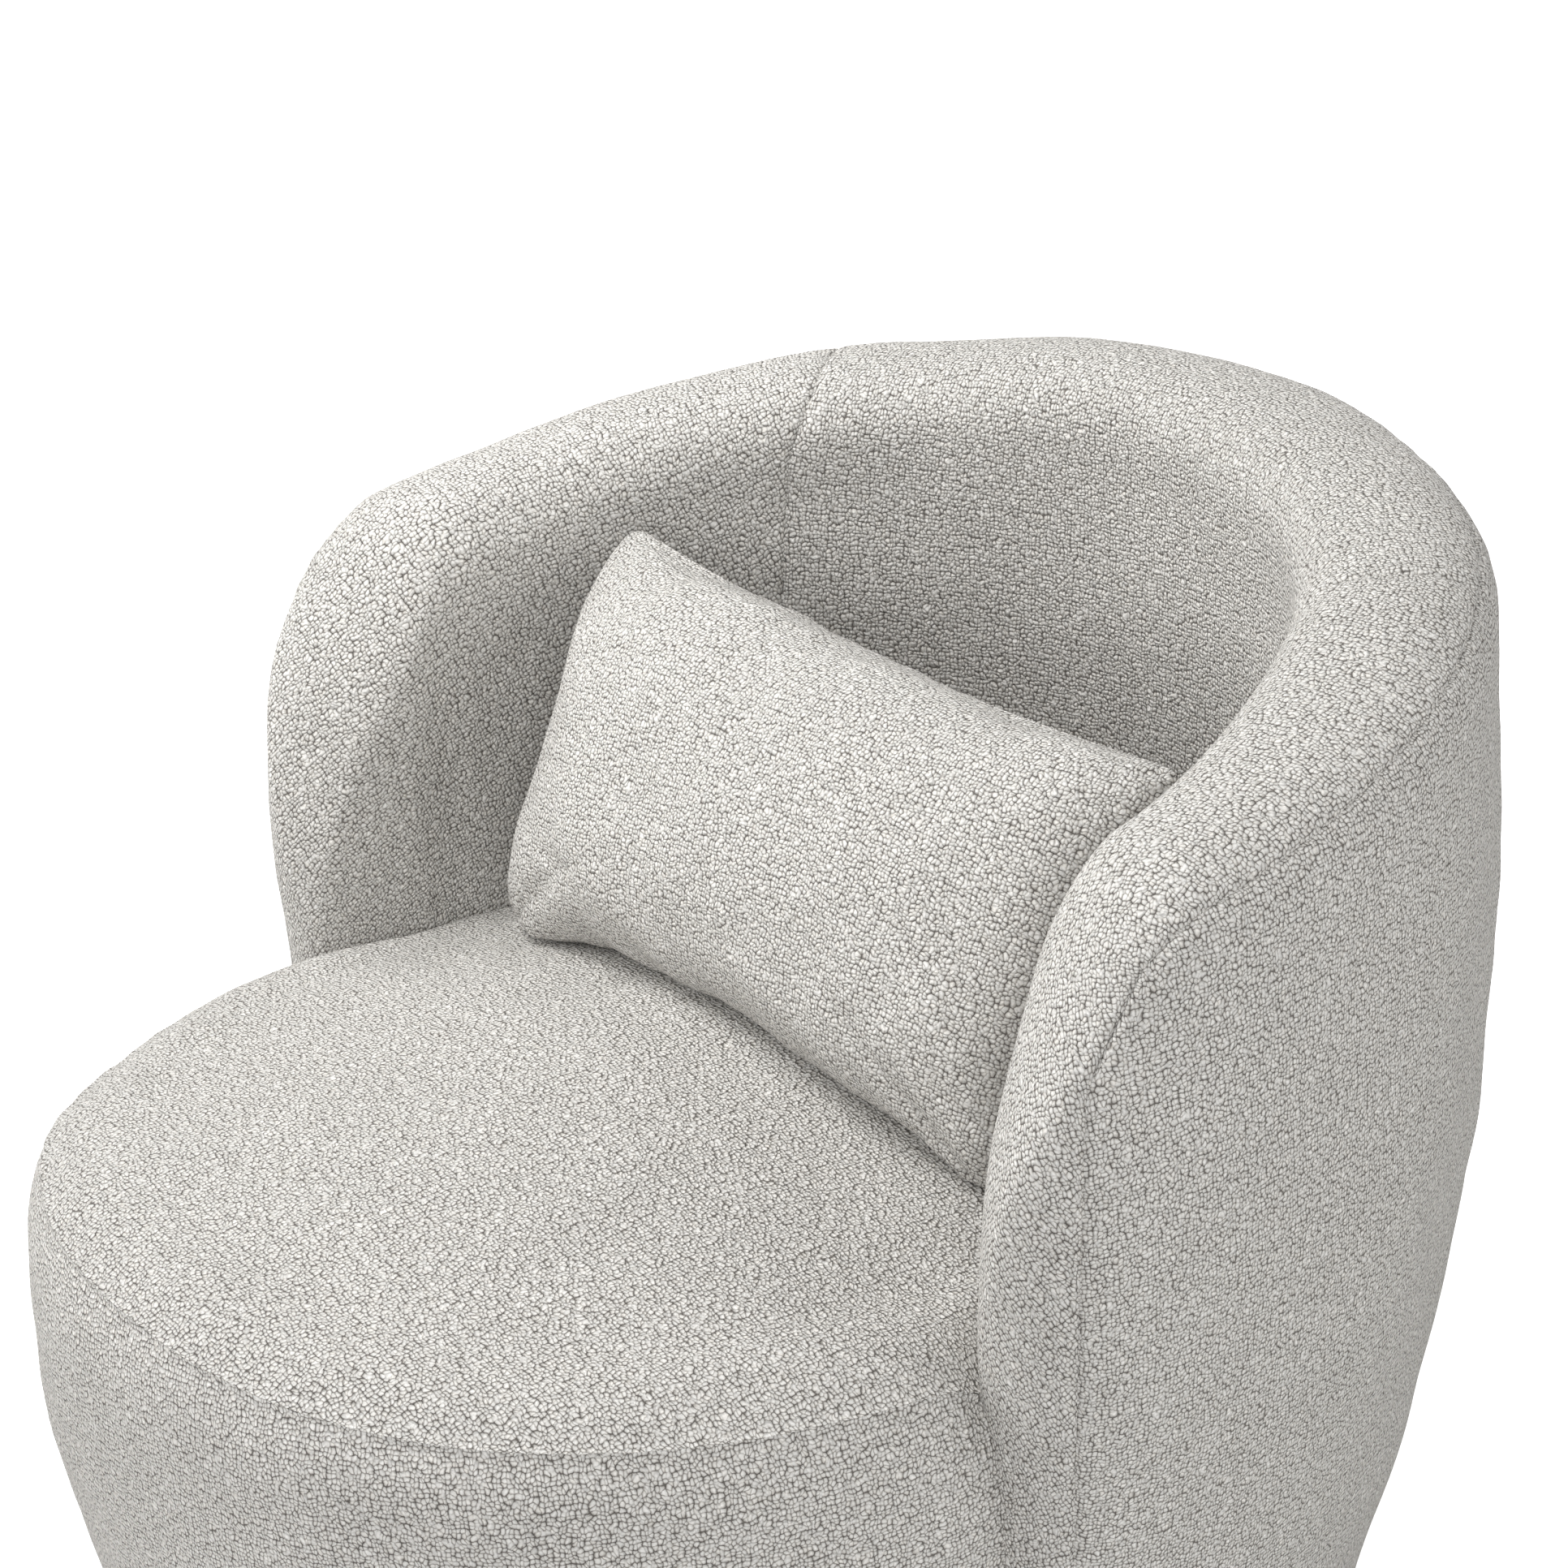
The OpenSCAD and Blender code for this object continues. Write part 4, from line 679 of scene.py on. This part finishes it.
def seat_piece(name, phis, ts, material, top):
    """The seat's top panel, all the way round, or the front panel that hangs from its seam."""
    nc, nr = len(phis), len(ts)
    p = seat_point(*np.meshgrid(phis, ts, indexing="ij")).reshape(-1, 3)
    faces = grid_faces(nc, nr, np.ones((nc - 1, nr - 1), bool))[:, ::-1]
    first, last = np.arange(nr), (nc - 1) * nr + np.arange(nr)
    if top:
        p[last] = p[first]
    n = face_normals(p, faces)
    if top:
        n[first] = n[last] = n[first] + n[last]
    n = unit(n)
    if top:
        n[::nr] = (0, 0, 1)
    ds, ws = nearest(seat_point(np.linspace(-SEAT_SIDES, SEAT_SIDES, 1600), SEAM_T), p)
    off = from_wall(p)
    lift = -groove(ds, 1.5, 1.6, 1.4, 8.0) + puckers(ws / 6.5, ripple(p, 70, 15), ds, 12, 0.35)
    lift += 1.0 * ripple(p, 150, 13) + 0.3 * ripple(p, 50, 14)
    moved = p + n * (lift * calm(p[:, 2]))[:, None]
    tuck = TUCK * np.exp(-np.maximum(off, 0) / TUCK_REACH) * (off < TUCK_END)
    moved[:, 2] -= tuck * (p[:, 2] > SEAT_SIDE_Z)
    if not top:
        edge = moved.reshape(nc, nr, 3)[:, -1]
        inward = unit(np.stack([-edge[:, 0], SEAT_MID_Y - edge[:, 1], np.zeros(nc)], 1))
        hem = turned_under(edge, inward)
        moved = np.concatenate([moved.reshape(nc, nr, 3), hem], 1).reshape(-1, 3)
        p = np.concatenate([p.reshape(nc, nr, 3), hem], 1).reshape(-1, 3)
        off = off.reshape(nc, nr)
        off = np.concatenate([off, np.repeat(off[:, -1:], HEM_ROWS, 1)], 1).reshape(-1)
        nr += HEM_ROWS
        faces = grid_faces(nc, nr, np.ones((nc - 1, nr - 1), bool))[:, ::-1]
    faces = faces[~(off < HIDDEN)[faces].all(1)]
    grid = p.reshape(nc, nr, 3)
    down = running(grid, 1)
    if top:
        flat = grid[:, -1, :2] - np.array([0, SEAT_MID_Y])
        ray = flat / np.linalg.norm(flat, axis=1)[:, None]
        uv = (down[:, :, None] * ray[:, None, :]).reshape(-1, 2)
    else:
        across = running(grid[:, nr // 4], 0)
        uv = np.stack([np.broadcast_to(across[:, None], down.shape), down], 2).reshape(-1, 2)
    return piece(name, moved, faces, uv[faces], material)


def at_edge(v):
    return seat_point(v, EDGE_T)


def profile(v):
    return seat_point(0.0, v)


def in_order(*parts):
    return np.unique(np.round(np.concatenate(parts), 6))


top_ts = in_order(even(profile, 0.0, SEAM_T, SEAT_CELL)[:-1], SEAM_T - SEAM_LINES)
low_ts = in_order(SEAM_T + SEAM_LINES, even(profile, SEAM_T, 3.0, SEAT_CELL)[1:])
all_round = even(at_edge, -math.pi, math.pi, ROUND_CELL)
ahead = even(at_edge, -SEAT_SIDES, SEAT_SIDES, SEAT_CELL)
seat = seat_piece("seat_top_panel", all_round, top_ts, BOUCLE_SEAT, True)
front = seat_piece("front_panel", ahead, low_ts, BOUCLE_FRONT, False)
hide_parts("seat_cover", "seat_wrap", "seat_foam", "spring_felt")
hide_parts("front_cover", "front_pad")

# The lumbar cushion: how square its corners are below and above, how much wider its top is, and how
# far it settles onto the seat, with the gap and the softness of the contact
CORNER_LOW, CORNER_TOP, TOP_WIDER, SETTLE, CONTACT, SOFTNESS = 11, 45, 0.07, 12.0, 0.6, 2.5
# How full its face is across and up, how steep towards the rim, and how much its long edges draw in
FULL_ACROSS, FULL_UP, STEEP, EDGE_DRAW = 3.2, 2.6, 0.45, 0.06
# Where, from -1 at its bottom to 1 at its top, it starts to widen and its corners start to square
WIDEN_FROM, SQUARE_FROM = -0.6, -0.5
# A dip beside the rim: depth, distance and width. All unevenness fades within RIM_CALM of the rim
RIM_DIP, DIP_AT, DIP_WIDTH, RIM_CALM = 0.8, 9, 5, 8
CUSHION_GRID = (111, 73)
# Soft folds on its face: place, direction, length, width and depth of each
CREASES = (
    (0.10, 0.52, 0.7, 1.0, 42, 9, 3.0), (0.34, 0.55, 0.6, 1.0, 38, 8, 3.2),
    (-0.12, 0.40, 0.8, 1.0, 36, 10, 2.0), (0.58, 0.50, 0.5, 1.0, 40, 9, 2.6),
    (-0.55, 0.62, 1.0, 0.7, 40, 9, 1.8), (-0.72, -0.55, 1.0, -0.8, 36, 9, 1.8),
    (0.20, -0.45, 1.0, 0.3, 60, 14, 1.6), (0.70, -0.30, 0.8, 1.0, 40, 10, 2.2),
)
# How far a fold sways to its sides, and over what length
SWAY, SWAY_LENGTH = 6, 23


def seat_surface(x, y):
    """Height of the seat under a place."""
    b = half_depth(y < SEAT_MID_Y) - SEAT_ROUND
    k = ((np.abs(x) / (SEAT_W / 2 - SEAT_ROUND)) ** REST_POWER
         + (np.abs(y - SEAT_MID_Y) / b) ** REST_POWER) ** (1 / REST_POWER)
    return SEAT_H + SEAT_CROWN * (1 - np.minimum(k, 1) ** CROWN_POWER)


def cushion_point(u, v, side):
    """Points of the cushion's front or back, with u across and v up from -1 to 1, and their lie."""
    lean = math.radians(CUSHION_LEAN)
    bulge = (np.maximum(0, 1 - np.abs(u) ** FULL_ACROSS) * np.maximum(0, 1 - np.abs(v) ** FULL_UP)) ** STEEP
    far = np.maximum(np.abs(u), np.abs(v))
    power = CORNER_LOW + (CORNER_TOP - CORNER_LOW) * smooth(v - SQUARE_FROM)
    least = np.minimum(np.abs(u), np.abs(v)) / np.maximum(far, 1e-6)
    turn = (1 + least ** power) ** (-1 / power)
    u, v = u * turn, v * turn
    x = u * CUSHION_W / 2 * (1 + TOP_WIDER * smooth((v - WIDEN_FROM) / (1 - WIDEN_FROM)))
    rise = (v * CUSHION_H / 2 * (1 - EDGE_DRAW * (1 - u * u))
            - np.where(v > 0, CUSHION_SAG, CUSHION_RISE) * (1 - u * u) * v)
    out = side * CUSHION_T / 2 * bulge
    return np.stack([x, out * math.cos(lean) + rise * math.sin(lean) + CUSHION_Y,
                     rise * math.cos(lean) - out * math.sin(lean)], -1), x, rise


def crowd(n):
    """Places from -1 to 1, closer towards the ends."""
    k = np.linspace(-1, 1, n)
    return np.sign(k) * (1 - (1 - np.abs(k)) ** 1.5)


def settle(p):
    """Lower the cushion onto the seat, so that it rests along its bottom."""
    p = p - np.array([0, 0, SETTLE])
    over = p[:, 2] - seat_surface(p[:, 0], p[:, 1]) - CONTACT
    p[:, 2] += SOFTNESS * np.log1p(np.exp(-np.clip(over, -60, 60) / SOFTNESS))
    return p


def creases(u, v):
    """Depth of the soft folds that run down and across the cushion's face."""
    out = 0
    for u0, v0, du, dv, length, width, deep in CREASES:
        a, b = (u - u0) * CUSHION_W / 2, (v - v0) * CUSHION_H / 2
        n = math.hypot(du, dv)
        s, c = (a * du + b * dv) / n, (a * dv - b * du) / n
        out = out - deep * np.exp(-(s / length) ** 2) * np.exp(
            -((c + SWAY * np.sin(s / SWAY_LENGTH)) / width) ** 2)
    return out


CU, CV = np.meshgrid(*(crowd(n) for n in CUSHION_GRID), indexing="ij")
low_points = np.concatenate([cushion_point(CU, CV, s)[0].reshape(-1, 3) for s in (-1, 1)])
cushion_z = REST_GAP + float(np.max(seat_surface(low_points[:, 0], low_points[:, 1]) - low_points[:, 2]))
long_edge, short_edge = np.linspace(-1, 1, 700), np.linspace(-1, 1, 400)
rim = np.concatenate([cushion_point(long_edge, np.full(700, v), 1)[0] for v in (-1.0, 1.0)]
                     + [cushion_point(np.full(400, u), short_edge, 1)[0] for u in (-1.0, 1.0)])
rim[:, 2] += cushion_z


def cushion_piece(name, side):
    nc, nr = CUSHION_GRID
    p, x, rise = cushion_point(CU, CV, side)
    p = p.reshape(-1, 3) + np.array([0, 0, cushion_z])
    faces = grid_faces(nc, nr, np.ones((nc - 1, nr - 1), bool))
    if side > 0:
        faces = faces[:, ::-1]
    n = unit(face_normals(p, faces))
    dr, wr = nearest(rim, p)
    lift = puckers(wr / 7.0, ripple(p, 50, 28), dr, 16, 0.9) * (dr > 1)
    lift -= RIM_DIP * np.exp(-((dr - DIP_AT) / DIP_WIDTH) ** 2)
    lift += 1.5 * ripple(p, 110, 23) + 0.6 * ripple(p, 48, 24) + creases(CU, CV).reshape(-1)
    lift *= np.minimum(1, dr / RIM_CALM)
    uv = np.stack([x, rise], 2).reshape(-1, 2)
    return piece(name, settle(p + n * lift[:, None]), faces, uv[faces], BOUCLE_CUSHION, body="lumbar")


cushions = [cushion_piece("lumbar_front_panel", -1), cushion_piece("lumbar_back_panel", 1)]
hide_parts("lumbar_front_cover", "lumbar_fill")
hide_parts("lumbar_back_cover")


# The rest of the chair
def plain(name, dark, light, scale, stretch=(1, 1, 1), rough=(0.5, 0.7), bump=0.0002, metal=0.0):
    """A material that varies slightly between two colours, by a noise of one scale."""
    m, t, bsdf, add = node_material(name)
    co = add("ShaderNodeTexCoord").outputs["Object"]
    co = add("ShaderNodeMapping", {0: co, "Scale": stretch}).outputs[0]
    inputs = {"Vector": co, "Scale": scale, "Detail": 6.0, "Roughness": 0.6}
    n = add("ShaderNodeTexNoise", inputs).outputs["Fac"]
    t.links.new(ramp(add, n, [(0.3, rgb(*dark)), (0.7, rgb(*light))]), bsdf.inputs["Base Color"])
    r = add("ShaderNodeMapRange", {0: n, 3: rough[0], 4: rough[1]}).outputs[0]
    t.links.new(r, bsdf.inputs["Roughness"])
    b = add("ShaderNodeBump", {"Strength": 0.6, "Distance": bump, "Height": n})
    t.links.new(b.outputs[0], bsdf.inputs["Normal"])
    bsdf.inputs["Metallic"].default_value = metal
    return m


TIMBER = plain("timber", (176, 138, 92), (214, 180, 132), 60, (1, 1, 14))
BOARD = plain("fibreboard", (134, 100, 66), (164, 128, 88), 400)
BLACK = plain("plinth_black", (24, 23, 22), (40, 38, 36), 220, rough=(0.45, 0.6))
GLIDE = plain("glide_plastic", (30, 30, 30), (46, 46, 46), 500, rough=(0.4, 0.55))
CAGE = plain("cage_plastic", (196, 192, 180), (222, 218, 206), 300, rough=(0.35, 0.5))
STEEL = plain("swivel_steel", (150, 152, 154), (190, 192, 194), 180, rough=(0.25, 0.45), metal=1.0)
BOLT = plain("hardware_steel", (160, 158, 150), (200, 198, 188), 700, rough=(0.25, 0.4), metal=1.0)
SPRING = plain("spring_steel", (84, 84, 86), (120, 120, 122), 500, rough=(0.35, 0.5), metal=1.0)
WEBBING = plain("webbing", (60, 58, 56), (104, 100, 94), 900, (1, 1, 0.2))
LINING = plain("lining", (34, 34, 35), (54, 54, 56), 1500, rough=(0.8, 0.95))
BY_NODE = {
    "glides": GLIDE, "plinth": BLACK, "lower_swivel_plate": STEEL, "upper_swivel_plate": STEEL,
    "ball_cage": CAGE, "bearing_balls": STEEL, "swivel_pin": STEEL, "lower_plate_screws": BOLT,
    "plate_bolts": BOLT, "tee_nuts": BOLT, "front_board": BOARD, "seat_springs": SPRING,
    "spring_clips": SPRING, "back_webbing": WEBBING, "outer_board_back": BOARD,
    "outer_board_left": BOARD, "outer_board_right": BOARD,
}
for name, obj in NODES.items():
    if obj.hide_render:
        continue
    for s in obj.material_slots:
        s.material = BY_NODE.get(name, TIMBER)

# Cloth under the base: the dust cover's underside
bm = bmesh.new()
bm.from_mesh(NODES["dust_cover"].data)
bmesh.ops.delete(bm, geom=[f for f in bm.faces if f.normal.z > -0.5], context="FACES")
bmesh.ops.remove_doubles(bm, verts=bm.verts, dist=1e-5)
area = sum(f.calc_area() for f in bm.faces)
sheet_mesh = bpy.data.meshes.new("dust_sheet")
bm.to_mesh(sheet_mesh)
bm.free()
sheet_mesh.materials.append(LINING)
dust = bpy.data.objects.new("dust_sheet", sheet_mesh)
bpy.context.scene.collection.objects.link(dust)
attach(dust, "chair")
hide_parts("dust_cover")

# Floor, in metres: its half width and paleness, and its glow, which the camera alone sees and which
# grows from a level under the chair to white between two distances from it
FLOOR_HALF, FLOOR_PALE = 9.0, 0.82
GLOW_NEAR, GLOW_FAR, GLOW_FROM, GLOW_TO = 0.80, 1.0, 1.0, 3.5
floor_mesh = bpy.data.meshes.new("floor")
floor_corners = [(x * FLOOR_HALF, y * FLOOR_HALF, 0) for x, y in ((-1, -1), (1, -1), (1, 1), (-1, 1))]
floor_mesh.from_pydata(floor_corners, [], [(0, 1, 2, 3)])
floor = bpy.data.objects.new("floor", floor_mesh)
bpy.context.scene.collection.objects.link(floor)
m, t, bsdf, add = node_material("floor")
bsdf.inputs["Base Color"].default_value = (FLOOR_PALE, FLOOR_PALE, FLOOR_PALE, 1)
bsdf.inputs["Roughness"].default_value = 1.0
bsdf.inputs["Specular IOR Level"].default_value = 0.0
far_off = add("ShaderNodeVectorMath", {0: add("ShaderNodeNewGeometry").outputs["Position"]},
              operation="LENGTH").outputs["Value"]
level = add("ShaderNodeMapRange",
            {0: far_off, 1: GLOW_FROM, 2: GLOW_TO, 3: GLOW_NEAR, 4: GLOW_FAR}).outputs[0]
strength = maths(add, "MULTIPLY", seen(add), level)
glow = add("ShaderNodeEmission", {"Color": (1, 1, 1, 1), "Strength": strength})
both = add("ShaderNodeAddShader", {0: bsdf.outputs[0], 1: glow.outputs[0]})
t.links.new(both.outputs[0], t.nodes["Material Output"].inputs["Surface"])
floor_mesh.materials.append(m)

# World: white to the camera, and a soft light on the chair
WORLD_LEVEL = 0.20
world = bpy.data.worlds.new("world")
bpy.context.scene.world = world
world.use_nodes = True
t = world.node_tree
add = adder(t)
lit = t.nodes["Background"]
lit.inputs["Color"].default_value = (1, 1, 1, 1)
lit.inputs["Strength"].default_value = WORLD_LEVEL
white = add("ShaderNodeBackground", {"Color": (1, 1, 1, 1), "Strength": 1.0})
blend = add("ShaderNodeMixShader", {0: seen(add), 1: lit.outputs[0], 2: white.outputs[0]})
t.links.new(blend.outputs[0], t.nodes["World Output"].inputs["Surface"])

# Lamps: name, place, where it points, width and power
MIDDLE = (0, 0, 0.4)
LAMPS = (
    ("key", (-1.93, -2.25, 1.53), MIDDLE, 1.8, 42),
    ("side", (-1.75, -0.30, 1.70), (0.20, 0.10, 0.5), 1.0, 13),
    ("fill", (2.31, -1.83, 1.65), MIDDLE, 1.8, 37),
    ("rim", (2.37, 1.42, 1.98), MIDDLE, 1.8, 31),
    ("top", (-0.30, -0.50, 1.80), (0.10, 0.20, 0.5), 0.8, 14),
    ("back", (-1.70, 2.45, 0.95), MIDDLE, 1.8, 32),
)
for name, place, towards, width, power in LAMPS:
    data = bpy.data.lights.new(name, "AREA")
    data.shape = "DISK"
    data.size = width
    data.energy = power
    obj = bpy.data.objects.new(name, data)
    bpy.context.scene.collection.objects.link(obj)
    obj.location = place
    obj.rotation_euler = (Vector(towards) - Vector(place)).to_track_quat("-Z", "Y").to_euler()
    obj.visible_camera = False

bpy.context.scene.view_settings.view_transform = "Standard"
